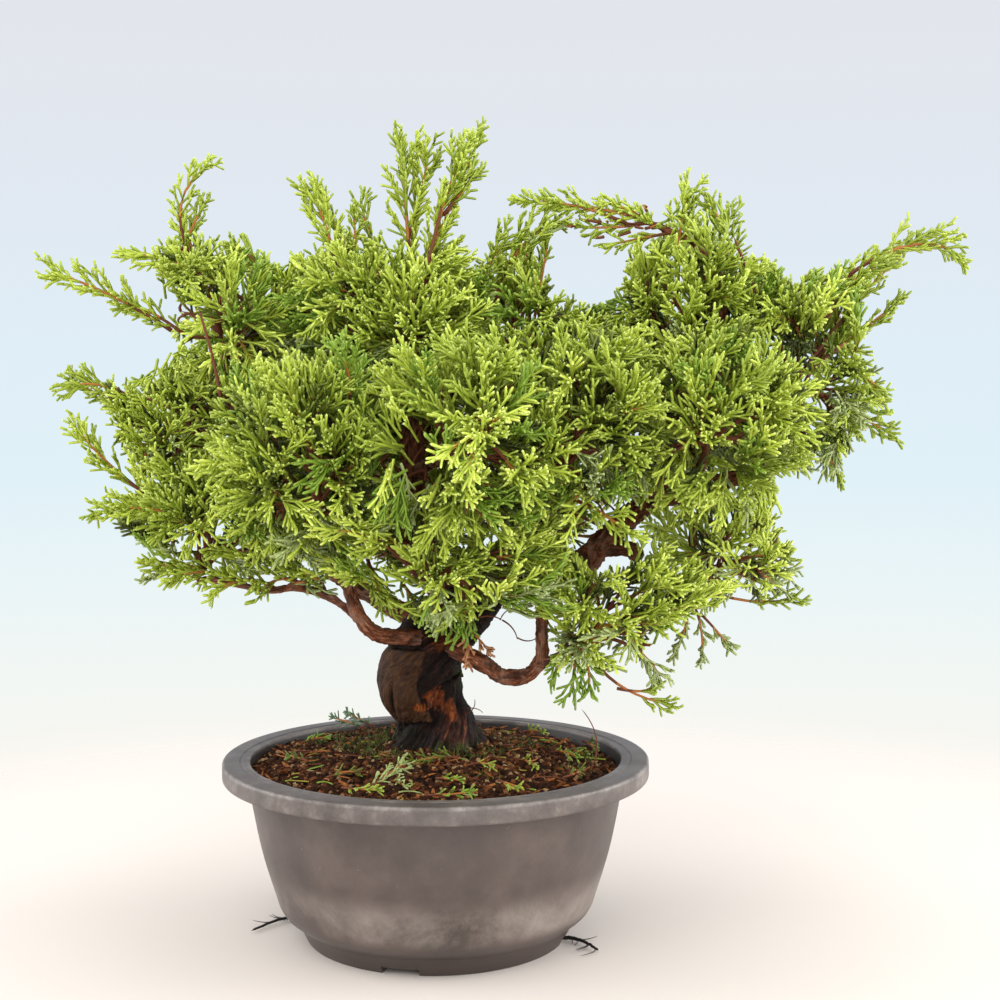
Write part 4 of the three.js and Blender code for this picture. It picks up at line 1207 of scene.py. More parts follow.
def bark_finish():
    """Juniper bark: thin long flakes of grey-brown over red-brown, rough and dry, with painted
    shade between.
    """
    material, tree, shader = finish("juniper_bark", 0.8, 0.18)
    grain, drawn_out, strips = bark_strips(tree, (0.4, 0.4, 0.07), 2.4, 7.0, 0.5)
    colour = add(tree, "ShaderNodeValToRGB", {0: strips}, stops=[
        (0.3, "#34180c"), (0.43, "#6a3a23"), (0.55, "#95573b"), (0.68, "#c08f70")])
    blotch = add(tree, "ShaderNodeTexNoise", {"Vector": grain, "Scale": 0.1, "Detail": 3.0})
    grey = add(tree, "ShaderNodeMapRange", {0: blotch, 1: 0.5, 2: 0.68, 4: 0.75})
    # Painted shade where the bough's relief sinks
    hollow = add(tree, "ShaderNodeAttribute", attribute_name="hollow").outputs["Fac"]
    fine = add(tree, "ShaderNodeTexNoise", {"Vector": drawn_out, "Scale": 10.0, "Detail": 4.0})
    shade = add(tree, "ShaderNodeMapRange", {0: fine, 1: 0.3, 2: 0.7, 4: 0.45})
    coat(tree, shader, colour, [(grey, "#a8826e"), (hollow, "#22110a"), (shade, "#2c1810")],
         fine, 0.7, 0.7)
    return material


def trunk_finish():
    """Old trunk: nearly black umber bark with painted shade in its folds, groove, crack and
    hollow, a smooth tan plate, small peeled red-brown and orange spots, a flaky red-brown foot and
    a little moss."""
    material, tree, shader = finish("trunk_bark", 0.6, 0.22)
    _, drawn_out, strips = bark_strips(tree, (0.3, 0.3, 0.15), 1.7, 8.0, 0.7)
    umber = add(tree, "ShaderNodeValToRGB", {0: strips}, stops=[
        (0.36, "#090402"), (0.5, "#1c0d06"), (0.62, "#361b0d"), (0.76, "#633922")])
    tones = {
        "flaky": [(0.38, "#1a0b06"), (0.5, "#431f11"), (0.6, "#6e3c27"), (0.76, "#a87356")],
        "plate": [(0.3, "#190b06"), (0.44, "#38200f"), (0.6, "#523318"), (0.74, "#6f4b2d")],
        "peeled": [(0.38, "#481a06"), (0.5, "#86390f"), (0.6, "#b86426"), (0.74, "#dd9c62")],
        "mossy": [(0.4, "#1c2209"), (0.62, "#4a5a1c")]}
    layers = []
    for name, stops in tones.items():
        amount = add(tree, "ShaderNodeAttribute", attribute_name=name).outputs["Fac"]
        layers.append((amount, add(tree, "ShaderNodeValToRGB", {0: strips}, stops=stops)))
    hollow = add(tree, "ShaderNodeAttribute", attribute_name="hollow").outputs["Fac"]
    # Painted shade in the bark's folds, the groove round the plate, the crack and the hollow
    layers.append((hollow, "#0e0502"))
    fine = add(tree, "ShaderNodeTexNoise", {
        "Vector": drawn_out, "Scale": 9.0, "Detail": 5.0, "Roughness": 0.65})
    coat(tree, shader, umber, layers, fine, 0.8, 0.9)
    rough = add(tree, "ShaderNodeMapRange", {0: fine, 1: 0.35, 2: 0.65, 3: 0.42, 4: 0.75})
    tree.links.new(rough.outputs[0], shader.inputs["Roughness"])
    return material


def pot_finish():
    """Moulded polypropylene: dull dark grey-brown, rubbed paler along the rim's edges, which is
    partly wear and partly painted highlight, with a dusty tide line and a few smudges low on the
    belly, the foot darker towards the bottom, and painted shade on the rim's flat top and inside
    the wall above the soil."""
    material, tree, shader = finish("moulded_polypropylene", 0.46, 0.7)
    place_in = add(tree, "ShaderNodeTexCoord").outputs["Object"]
    height = add(tree, "ShaderNodeSeparateXYZ", {0: place_in}).outputs[2]
    # Patterns about 38, 62, 14, 3 and 1 mm across
    mottle, cloud, rubbed, specks, grain = (
        add(tree, "ShaderNodeTexNoise", {"Vector": place_in, "Scale": scale, "Detail": detail,
                                         "Roughness": ragged, "Distortion": bent})
        for scale, detail, ragged, bent in (
            (26.0, 6.0, 0.62, 0.0), (16.0, 7.0, 0.72, 0.3), (70.0, 7.0, 0.72, 0.0),
            (330.0, 2.0, 0.5, 0.0), (900.0, 3.0, 0.5, 0.0)))
    base = add(tree, "ShaderNodeValToRGB", {0: mottle}, stops=[
        (0.32, "#3c312c"), (0.5, "#4b3e39"), (0.68, "#5d4f49")])
    rim_colour = add(tree, "ShaderNodeValToRGB", {0: rubbed}, stops=[
        (0.36, "#4d4440"), (0.52, "#645a55"), (0.66, "#877e77")])
    rim_bottom = RIM_TOP - RIM_HEIGHT
    by_height = {"dust_starts": (*DUST_STARTS, 0.0, 1.0), "dust_ends": (*DUST_ENDS, 1.0, 0.0),
                 "foot": (*FOOT_DARKENING, 0.7, 0.0),
                 "rim": (rim_bottom - 1.8, rim_bottom + 0.2, 0.0, 0.8),
                 # Painted shade: the rim's flat top darker than the rest of the rim
                 "top": (RIM_TOP - 0.5, RIM_TOP - 0.1, 0.0, 0.55)}
    amount = {}
    for name, (low, high, below, above) in by_height.items():
        soft = "SMOOTHSTEP" if name.startswith("dust") else "LINEAR"
        amount[name] = add(tree, "ShaderNodeMapRange", {
            0: height, 1: low * MM, 2: high * MM, 3: below, 4: above}, interpolation_type=soft)
    by_pattern = {"patchy": (cloud, 0.4, 0.62, 0.0, 0.66), "smudge": (cloud, 0.66, 0.78, 0.0, 0.3),
                  "scuffs": (rubbed, 0.42, 0.6, 0.15, 1.0), "dots": (specks, 0.76, 0.8, 0.0, 0.35),
                  "rough": (cloud, 0.3, 0.7, 0.36, 0.56)}
    for name, limits in by_pattern.items():
        amount[name] = add(tree, "ShaderNodeMapRange", dict(enumerate(limits)))
    for name in ("inner", "worn"):
        amount[name] = add(tree, "ShaderNodeAttribute", attribute_name=name).outputs["Fac"]
    for name, first, second in (("band", "dust_starts", "dust_ends"), ("dusty", "band", "patchy"),
                                ("wear_and_highlight", "worn", "scuffs")):
        amount[name] = add(tree, "ShaderNodeMath", {0: amount[first], 1: amount[second]},
                           operation="MULTIPLY")
    # Over the base: the foot darker below, painted shade on the rim's top and inside, wear with
    # painted highlight
    layers = {"dusty": "#9c9187", "smudge": "#9c948b", "foot": "#352a23", "rim": rim_colour,
              "top": "#433e3c", "inner": "#141616", "wear_and_highlight": "#b3aba4", "dots": "#a89f96"}
    coat(tree, shader, base, [(amount[name], over) for name, over in layers.items()], grain,
         0.25, 0.3)
    tree.links.new(amount["rough"].outputs[0], shader.inputs["Roughness"])
    return material


def soil_finish():
    """Moist fine soil between the grains, nearly black."""
    material, tree, shader = finish("moist_soil", 0.9, 0.1)
    place_in = add(tree, "ShaderNodeTexCoord").outputs["Object"]
    crumbs = add(tree, "ShaderNodeTexNoise", {"Vector": place_in, "Scale": 320.0, "Detail": 4.0})
    colour = add(tree, "ShaderNodeValToRGB", {0: crumbs}, stops=[
        (0.35, "#140b07"), (0.55, "#2b1a11"), (0.7, "#4a2f1f")])
    coat(tree, shader, colour, (), crumbs, 0.8, 1.0)
    return material


def grain_finish(name, dark, light):
    """Grains of fired clay and bark, each a little lighter or darker by where it lies."""
    material, tree, shader = finish(name, 0.8, 0.12)
    place_in = add(tree, "ShaderNodeTexCoord").outputs["Object"]
    spots = add(tree, "ShaderNodeTexNoise", {
        "Vector": place_in, "Scale": 240.0, "Detail": 3.0, "Roughness": 0.7})
    coat(tree, shader, add(tree, "ShaderNodeValToRGB", {0: spots}, stops=[
        (0.35, dark), (0.66, light)]))
    return material


def scatter_tree(name, shape):
    """A node tree that scatters grains or moss blades over a surface, then makes them a mesh.
    Its inputs are the density, the attribute that says where, the sizes and the seed."""
    tree = bpy.data.node_groups.new(name, "GeometryNodeTree")
    tree.is_modifier = True
    sockets = {"Geometry": "Geometry", "Density": "Float", "Smallest": "Float",
               "Largest": "Float", "Flatness": "Float", "Length": "Float", "Seed": "Int",
               "Where": "String", "Material": "Material"}
    for socket, kind in sockets.items():
        tree.interface.new_socket(socket, in_out="INPUT", socket_type="NodeSocket" + kind)
    tree.interface.new_socket("Geometry", in_out="OUTPUT", socket_type="NodeSocketGeometry")
    given = add(tree, "NodeGroupInput").outputs
    where = add(tree, "GeometryNodeInputNamedAttribute", {"Name": given["Where"]},
                data_type="FLOAT")
    density = add(tree, "ShaderNodeMath", {0: given["Density"], 1: where}, operation="MULTIPLY")
    points = add(tree, "GeometryNodeDistributePointsOnFaces", {
        "Mesh": given["Geometry"], "Density": density, "Seed": given["Seed"]})
    size = add(tree, "FunctionNodeRandomValue", {
        2: given["Smallest"], 3: given["Largest"], 8: given["Seed"]},
        data_type="FLOAT").outputs[1]
    flat, long = (add(tree, "ShaderNodeMath", {0: size, 1: given[factor]}, operation="MULTIPLY")
                  for factor in ("Flatness", "Length"))
    if shape == "grain":
        solid = add(tree, "GeometryNodeMeshIcoSphere", {"Radius": 0.5, "Subdivisions": 1})
        sizes, tilt, dents = (size, long, flat), 0.7, GRAIN_DENTS * MM
    else:
        solid = add(tree, "GeometryNodeMeshCone", {
            "Vertices": 3, "Side Segments": 1, "Fill Segments": 1, "Radius Top": 0.0,
            "Radius Bottom": 0.5, "Depth": 1.0}, fill_type="NGON")
        sizes, tilt, dents = (flat, flat, size), 0.9, 0.0
    scale = add(tree, "ShaderNodeCombineXYZ", dict(enumerate(sizes)))
    turn = add(tree, "FunctionNodeRandomValue", {
        0: (-tilt, -tilt, 0.0), 1: (tilt, tilt, FULL_TURN), 8: given["Seed"]},
        data_type="FLOAT_VECTOR")
    placed = add(tree, "GeometryNodeInstanceOnPoints", {
        "Points": points, "Instance": solid, "Rotation": turn, "Scale": scale})
    real = add(tree, "GeometryNodeRealizeInstances", {"Geometry": placed})
    rough = add(tree, "ShaderNodeTexNoise", {"Scale": 500.0, "Detail": 1.0}).outputs[1]
    centred = add(tree, "ShaderNodeVectorMath", {0: rough, 1: (0.5, 0.5, 0.5)},
                  operation="SUBTRACT")
    shift = add(tree, "ShaderNodeVectorMath", {0: centred, "Scale": dents}, operation="SCALE")
    moved = add(tree, "GeometryNodeSetPosition", {"Geometry": real, "Offset": shift})
    painted = add(tree, "GeometryNodeSetMaterial", {
        "Geometry": moved, "Material": given["Material"]})
    add(tree, "NodeGroupOutput", {"Geometry": painted})
    return tree


def plain_copy(obj, name):
    """A plain mesh of an object with its modifiers at work."""
    bpy.context.view_layer.update()
    graph = bpy.context.evaluated_depsgraph_get()
    mesh = bpy.data.meshes.new_from_object(obj.evaluated_get(graph))
    mesh.name = name
    return mesh


def scatter(surface, tree, name, **values):
    """Runs a scatter tree on a surface and returns the plain mesh that it gives."""
    modifier = surface.modifiers.new(name, "NODES")
    modifier.node_group = tree
    for item in tree.interface.items_tree:
        if item.in_out == "INPUT" and item.name in values:
            modifier[item.identifier] = values[item.name]
    mesh = plain_copy(surface, name)
    surface.modifiers.remove(modifier)
    for key in ("open", "moss"):
        if key in mesh.attributes:
            mesh.attributes.remove(mesh.attributes[key])
    return link_object(name, mesh)


def pot_profile(inset, steps):
    """Heights and radii of the pot's wall, through its lip, belly and top."""
    curve = Path([[LIP_RADIUS - inset, LIP_HEIGHT], [BELLY_RADIUS - inset, BELLY_HEIGHT],
                  [WALL_TOP_RADIUS - inset, RIM_TOP - RIM_HEIGHT]])
    return [tuple(point) for point in curve.at(np.linspace(0, 1, steps))]


def arc(centre, radius, from_angle, to_angle, steps):
    """Points on an arc in the pot's profile, angles in degrees."""
    angles = np.radians(np.linspace(from_angle, to_angle, steps))
    return [(centre[0] + radius * math.cos(a), centre[1] + radius * math.sin(a)) for a in angles]


class BonsaiPotSettings(PropertyGroup):
    """Sizes of the pot."""
    rim_radius: FloatProperty(
        name="Rim Radius", description="Outer radius of the rim", default=RIM_RADIUS * MM,
        min=0.05, unit="LENGTH")
    columns: IntProperty(name="Columns", description="Faces round the pot", default=240, min=60)


class BonsaiSoilSettings(PropertyGroup):
    """Grains, bits and moss on the soil."""
    grain_size: FloatProperty(
        name="Grain Size", description="Largest soil grain", default=4.0 * MM, min=0.001,
        unit="LENGTH")
    grain_density: FloatProperty(
        name="Grain Density", description="Grains per square metre", default=230000, min=0)
    moss_density: FloatProperty(
        name="Moss Density", description="Moss blades per square metre", default=1100000, min=0)


class BonsaiBarkSettings(PropertyGroup):
    """Relief of the bark."""
    trunk_relief: FloatProperty(
        name="Trunk Relief", description="Depth of the trunk's relief", default=1.5 * MM, min=0,
        unit="LENGTH")
    bough_relief: FloatProperty(
        name="Bough Relief", description="Depth of the boughs' relief at the thickest",
        default=0.9 * MM, min=0, unit="LENGTH")


class BonsaiFoliageSettings(PropertyGroup):
    """Sizes of the side twigs and scale-leaf cords."""
    cord_radius: FloatProperty(
        name="Cord Radius", description="Radius of a scale-leaf cord", default=0.72 * MM,
        min=0.0001, unit="LENGTH")
    cord_length: FloatProperty(
        name="Cord Length", description="Longest side cord", default=9.4 * MM, min=0.001,
        unit="LENGTH")
    cord_spacing: FloatProperty(
        name="Cord Spacing", description="From one side cord to the next", default=1.95 * MM,
        min=0.0005, unit="LENGTH")
    twig_length: FloatProperty(
        name="Twig Length", description="Longest side twig", default=13.0 * MM, min=0.001,
        unit="LENGTH")
    twig_spacing: FloatProperty(
        name="Twig Spacing", description="From one side twig to the next", default=2.8 * MM,
        min=0.0005, unit="LENGTH")


class BonsaiStageSettings(PropertyGroup):
    """Floor and light."""
    floor_colour: FloatVectorProperty(
        name="Floor Colour", description="Colour of the floor", subtype="COLOR", size=4, min=0,
        max=1, default=linear("#dad2ca"))
    key_power: FloatProperty(
        name="Key Power", description="Watts of the main light", default=18.5, min=0)


class BONSAI_OT_pot(Operator):
    """Builds the round plastic training pot"""
    bl_idname = "bonsai.pot"
    bl_label = "Pot"

    def execute(self, context):
        settings = context.scene.bonsai_pot
        rim = settings.rim_radius / MM
        inside = rim - RIM_WIDTH
        rim_bottom = RIM_TOP - RIM_HEIGHT
        floor_top = FLOOR_UNDERSIDE + WALL
        profile = self.outline(rim, inside, rim_bottom, floor_top)

        half = math.degrees(NOTCH_WIDTH / 2 / FOOT_RADIUS)
        angles = set(np.arange(settings.columns) * 360 / settings.columns)
        notches = [FIRST_NOTCH_ANGLE + k * 360 / NOTCHES for k in range(NOTCHES)]
        for middle in notches:
            for side in (-1, 1):
                angles.update((middle + side * (half + e)) % 360 for e in (-0.12, 0.12))
        angles = np.array(sorted(angles))
        radians = np.radians(angles)
        apart = np.min([np.abs((angles - m + 180) % 360 - 180) for m in notches], axis=0)
        radius = profile[:, 0][:, None]
        heights = np.repeat(profile[:, 1][:, None], len(angles), axis=1)
        under = (profile[:, 1] < 1)[:, None] & (apart < half)[None]
        heights = np.where(under, NOTCH_HEIGHT + heights * 0.5, heights)
        points = np.stack([radius * np.cos(radians), radius * np.sin(radians), heights], -1)
        rows, columns = heights.shape
        faces = tube_faces(rows, columns)[:2 * (rows - 1) * columns]
        obj = triangle_mesh("pot_shell", points.reshape(-1, 3), faces, [pot_finish()])
        shell = bmesh.new()
        shell.from_mesh(obj.data)
        bmesh.ops.remove_doubles(shell, verts=shell.verts, dist=1e-6)
        bmesh.ops.recalc_face_normals(shell, faces=shell.faces)
        shell.to_mesh(obj.data)
        shell.free()
        self.drill(obj, floor_top)
        obj.data.set_sharp_from_angle(angle=math.radians(SHARP_ANGLE))
        spots = (np.array([v.co for v in obj.data.vertices]) - AXIS) / MM
        across = np.hypot(spots[:, 0], spots[:, 1])
        # Rubbed wear and a painted highlight along the rim's outer and inner top edges
        edges = (np.abs(across - rim) < 0.9) | (np.abs(across - inside) < 1.2)
        set_attribute(obj, "worn", (edges & (spots[:, 2] > RIM_TOP - 1.6)) * RIM_WEAR_AND_HIGHLIGHT)
        inner = (across < inside + 0.5) & (np.abs(spots[:, 2] - SOIL_EDGE + 2) < 6.2)
        set_attribute(obj, "inner", inner * INSIDE_SHADE)
        keep(obj, "pot", "pot")
        return {"FINISHED"}

    def outline(self, rim, inside, rim_bottom, floor_top):
        """Radii and heights of the pot, from the middle of its underside round to its floor."""
        profile = [(0, FLOOR_UNDERSIDE), (FOOT_RADIUS - FOOT_WALL, FLOOR_UNDERSIDE),
                   (FOOT_RADIUS - FOOT_WALL, 0), (FOOT_RADIUS - 0.5, 0), (FOOT_RADIUS, 0.5),
                   (FOOT_RADIUS + 1.7, 4), (FOOT_TOP_RADIUS, FOOT_HEIGHT - 0.4),
                   (FOOT_TOP_RADIUS + 0.3, FOOT_HEIGHT)]
        turn = Path([[HEEL_RADIUS, HEEL_HEIGHT], [TURN_RADIUS, TURN_HEIGHT],
                     [LIP_RADIUS, LIP_HEIGHT]])
        profile += [tuple(point) for point in turn.at(np.linspace(0, 1, 9))[:-1]]
        profile += pot_profile(0, 22)
        profile += [(WALL_TOP_RADIUS + 0.5, rim_bottom + 0.35), (rim - 1.6, rim_bottom + 0.2)]
        profile += arc((rim - RIM_UNDER_EDGE, rim_bottom + RIM_UNDER_EDGE), RIM_UNDER_EDGE, -80, 0,
                       4)
        profile.append((rim, RIM_TOP - 2))
        profile += arc((rim - RIM_EDGE, RIM_TOP - RIM_EDGE), RIM_EDGE, 0, 90, 5)
        groove = inside + GROOVE_PLACE
        profile += [(groove + 0.9, RIM_TOP), (groove + 0.4, RIM_TOP - GROOVE_DEPTH),
                    (groove - 0.4, RIM_TOP - GROOVE_DEPTH), (groove - 0.9, RIM_TOP)]
        profile += arc((inside + RIM_INNER_EDGE, RIM_TOP - RIM_INNER_EDGE), RIM_INNER_EDGE, 90,
                       180, 3)
        profile.append((inside - 0.1, RIM_TOP - 1.8))
        profile += pot_profile(WALL, 12)[::-1]
        profile += [(FOOT_TOP_RADIUS - WALL, floor_top), (0, floor_top)]
        return np.array(profile)

    def drill(self, obj, floor_top):
        """Cuts the drain holes through the floor."""
        cutter_mesh = bpy.data.meshes.new("drain_cutter")
        cutter = bmesh.new()
        for k in range(DRAIN_HOLES + 1):
            angle = math.radians(FIRST_NOTCH_ANGLE + (k + 0.5) * 360 / DRAIN_HOLES)
            ring = DRAIN_RING if k < DRAIN_HOLES else 0
            middle = place([ring * math.cos(angle), ring * math.sin(angle), floor_top])
            made = bmesh.ops.create_cone(
                cutter, cap_ends=True, segments=32, radius1=DRAIN_RADIUS * MM,
                radius2=DRAIN_RADIUS * MM, depth=4 * WALL * MM)
            bmesh.ops.translate(cutter, verts=made["verts"], vec=Vector(middle))
        cutter.to_mesh(cutter_mesh)
        cutter.free()
        tool = link_object("drain_cutter", cutter_mesh)
        cut = obj.modifiers.new("Drain Holes", "BOOLEAN")
        cut.operation = "DIFFERENCE"
        cut.solver = "EXACT"
        cut.object = tool
        drilled = plain_copy(obj, obj.name)
        obj.modifiers.remove(cut)
        obj.data = drilled
        bpy.data.objects.remove(tool)


class BONSAI_OT_soil(Operator):
    """Builds the soil with its grains, bits of bark and moss"""
    bl_idname = "bonsai.soil"
    bl_label = "Soil"

    def execute(self, context):
        settings = context.scene.bonsai_soil
        rings = np.linspace(0.4, SOIL_EDGE_RADIUS, SOIL_RINGS)
        angle = angles_round(SOIL_COLUMNS)
        x = rings[:, None] * np.cos(angle)
        y = rings[:, None] * np.sin(angle)
        base = soil_height(rings)[:, None] + BACK_RISE * smooth(0, 80, 0.9 * y - 0.45 * x)
        trunk_gap = self.from_trunk(x, y)
        mound = MOUND * np.exp(-(np.maximum(0, trunk_gap - MOUND_START) / MOUND_WIDTH) ** 2)
        level = np.stack([x, y, np.zeros_like(x)], -1).reshape(-1, 3)
        lumps = noise_at(level, 0.09, (0, 0, 1.7), 5, 0.9).reshape(x.shape)
        z = base + mound - 0.9 + LUMPS * lumps
        walls = [p for p in pot_profile(WALL + GAP, 8)[::-1] if p[1] < SOIL_EDGE - 2]
        walls.append((FOOT_TOP_RADIUS - WALL - GAP, FLOOR_UNDERSIDE + WALL + GAP))
        side = [np.stack([r * np.cos(angle), r * np.sin(angle), np.full(SOIL_COLUMNS, h)], -1)
                for r, h in walls]
        rows = np.concatenate([np.stack([x, y, z], -1), np.array(side)])
        ends = np.array([[0, 0, z[0].mean()], [0, 0, walls[-1][1]]])
        points = np.vstack([rows.reshape(-1, 3), ends])
        obj = triangle_mesh("soil_bed", points, tube_faces(len(rows), SOIL_COLUMNS)[:, ::-1],
                            [soil_finish()])

        is_top = np.arange(len(points)) < x.size
        near_trunk = self.from_trunk(points[:, 0], points[:, 1])
        set_attribute(obj, "open", 1.0 * (is_top & (near_trunk > GRAINS_FROM_TRUNK)))
        ragged = 0.6 * noise_at(points, (0.2, 0.2, 0), (0, 0, 5.1))
        moss = np.zeros(len(points))
        for cx, cy, rx, ry, amount in MOSS_PATCHES:
            apart = np.hypot((points[:, 0] - cx) / rx, (points[:, 1] - cy) / ry)
            moss = np.maximum(moss, amount * smooth(1.15, 0.6, apart + ragged))
        set_attribute(obj, "moss", moss * is_top * (near_trunk > MOSS_FROM_TRUNK))

        grains = scatter_tree("grain_scatter", "grain")
        blades = scatter_tree("moss_scatter", "blade")
        largest = settings.grain_size
        for name, finish_name, dark, light, share, small, big, flatness, length, seed in GRAINS:
            made = scatter(obj, grains, name, Density=settings.grain_density * share,
                           Smallest=largest * small, Largest=largest * big, Flatness=flatness,
                           Length=length, Seed=seed, Where="open",
                           Material=grain_finish(finish_name, dark, light))
            keep(made, "soil")
        for name, colour, seed in MOSSES:
            made = scatter(obj, blades, name, Density=settings.moss_density / 2,
                           Smallest=MOSS_HEIGHTS[0] * MM, Largest=MOSS_HEIGHTS[1] * MM,
                           Flatness=MOSS_THICKNESS, Length=1.0, Seed=seed, Where="moss",
                           Material=plain(name + "_blades", colour, 0.7, 0.3))
            keep(made, "foliage")
        keep(obj, "soil", "soil")
        return {"FINISHED"}

    def from_trunk(self, x, y):
        return np.hypot(x - TRUNK[0][0], y - TRUNK[0][1])


class BONSAI_OT_trunk(Operator):
    """Builds the trunk with the relief of its bark"""
    bl_idname = "bonsai.trunk"
    bl_label = "Trunk"

    def execute(self, context):
        depth = context.scene.bonsai_bark.trunk_relief / MM
        path = PATHS["trunk"][0]
        share = np.linspace(TRUNK_START, 1, TRUNK_ROWS)
        middles = path.at(share)
        heads = path.heading(share)
        coarse = np.linspace(0, 1, 13)
        coarse_sides, _ = frames(path.heading(coarse))
        sides = np.stack([np.interp(share, coarse, coarse_sides[:, k]) for k in range(3)], 1)
        sides = unit(sides - heads * (sides * heads).sum(1, keepdims=True))
        angle = angles_round(TRUNK_COLUMNS)
        outward = spokes(sides, np.cross(sides, heads), angle)
        height = middles[:, 2][:, None]
        over = np.maximum(0, height - SOIL_TOP)
        taper = lerp(TRUNK_RADIUS, TRUNK_TIP_RADIUS, share ** 3)[:, None]
        lobes = 1 + FLARE_LOBE_SHARE * np.cos(FLARE_LOBES * angle)[None]
        flare = FLARE * np.exp(-over / FLARE_HEIGHT) * lobes
        bulge = BULGE * np.exp(-((height - BULGE_HEIGHT) / BULGE_SPREAD) ** 2)
        radius = taper + flare + bulge * (1 + BULGE_SKEW * np.sin(2 * angle)[None])
        closing = smooth(1.0, 0.965, share)[:, None]
        radius = radius * np.sqrt(np.clip(1 - (1 - closing) ** 2, 0, 1) * 0.96 + 0.04)

        azimuth = np.arctan2(outward[..., 1], outward[..., 0])
        z = (middles[:, None] + outward * radius[..., None])[..., 2]
        along = (share * path.length())[:, None] * np.ones_like(azimuth)
        twist = angle[None] + along * 0.03
        grain = np.stack([TRUNK_RADIUS * np.cos(twist), TRUNK_RADIUS * np.sin(twist), along], -1)
        grain = grain.reshape(-1, 3)

        def noisy(scale, stretch, octaves, offset):
            stretched = (scale, scale, scale * stretch)
            return noise_at(grain, stretched, (0, 0, offset), octaves).reshape(azimuth.shape)

        def turned_from(centre):
            away = azimuth - math.radians(centre) + math.pi
            return np.abs(away % (2 * math.pi) - math.pi)

        def around(centre, half, soft):
            return smooth(math.radians(half + soft), math.radians(half), turned_from(centre))

        wavy = noisy(0.09, 1.0, 3, 3.0)
        plate = around(*PLATE, 8) * smooth(*PLATE_BOTTOM, z + 5 * wavy) * smooth(*PLATE_TOP, z)
        plate = smooth(0.35, 0.65, plate + 0.2 * wavy)
        folds = np.abs(noisy(0.055, 0.3, 3, 11.0))
        strips = np.abs(noisy(0.2, 0.2, 4, 21.0))
        fine = noisy(0.7, 0.5, 4, 31.0)
        bark = 3.4 * (0.2 - folds) + 2.4 * (0.17 - strips) + 0.4 * fine
        worn = 0.35 + 0.5 * wavy + 0.2 * fine - 0.5 * smooth(0.07, 0.0, strips)
        groove = np.exp(-((plate - 0.5) / 0.24) ** 2) * smooth(94, 100, z)
        up = z - CRACK[1]
        crack = np.exp(-((azimuth - math.radians(CRACK[0]) - 0.015 * (up - 1)) / 0.05) ** 2)
        crack = crack * np.exp(-(up / 8) ** 2)
        hollow = np.exp(-((z - TRUNK_HOLLOW[1]) / 5) ** 2) * around(TRUNK_HOLLOW[0], 42, 30)
        relief = lerp(bark, worn, plate) - groove - 0.9 * crack - 1.5 * hollow - 0.5
        radius = radius + depth * relief * closing
        # Painted shade where the relief sinks, in the groove round the plate and in the crack
        dark = np.clip(0.8 * smooth(0.0, -1.5, relief) + 0.8 * groove + 0.8 * crack, 0, 0.92)

        def spots(places, ragged):
            found = np.zeros_like(z)
            for spot_angle, spot_height, wide, tall, amount in places:
                gap = turned_from(spot_angle) * TRUNK_RADIUS
                apart = np.hypot(gap / wide, (z - spot_height) / tall) + ragged
                found = np.maximum(found, amount * smooth(1.2, 0.5, apart))
            return found

        peeled = spots(PEELED_SPOTS, 1.1 * wavy + 1.1 * fine)
        # The hollow mask is the painted shade, with less of it on peeled spots
        masks = {"plate": plate, "hollow": dark * (1 - 0.85 * peeled),
                 "flaky": spots(FLAKY_SPOTS, 1.2 * wavy + 0.6 * fine), "peeled": peeled,
                 "mossy": spots(MOSSY_SPOTS, 1.2 * wavy + 1.6 * fine)}
        points = (middles[:, None] + outward * radius[..., None]).reshape(-1, 3)
        faces = tube_faces(TRUNK_ROWS, TRUNK_COLUMNS)[:, ::-1]
        obj = triangle_mesh("trunk_bark", np.vstack([points, middles[0], middles[-1]]), faces,
                            [trunk_finish()])
        set_attribute(obj, "grain", np.vstack([grain, [0, 0, 0], [0, 0, along[-1, 0]]]))
        for name, values in masks.items():
            set_attribute(obj, name, np.append(values.ravel(), [0, 0]))
        keep(obj, "bark", "trunk")
        return {"FINISHED"}


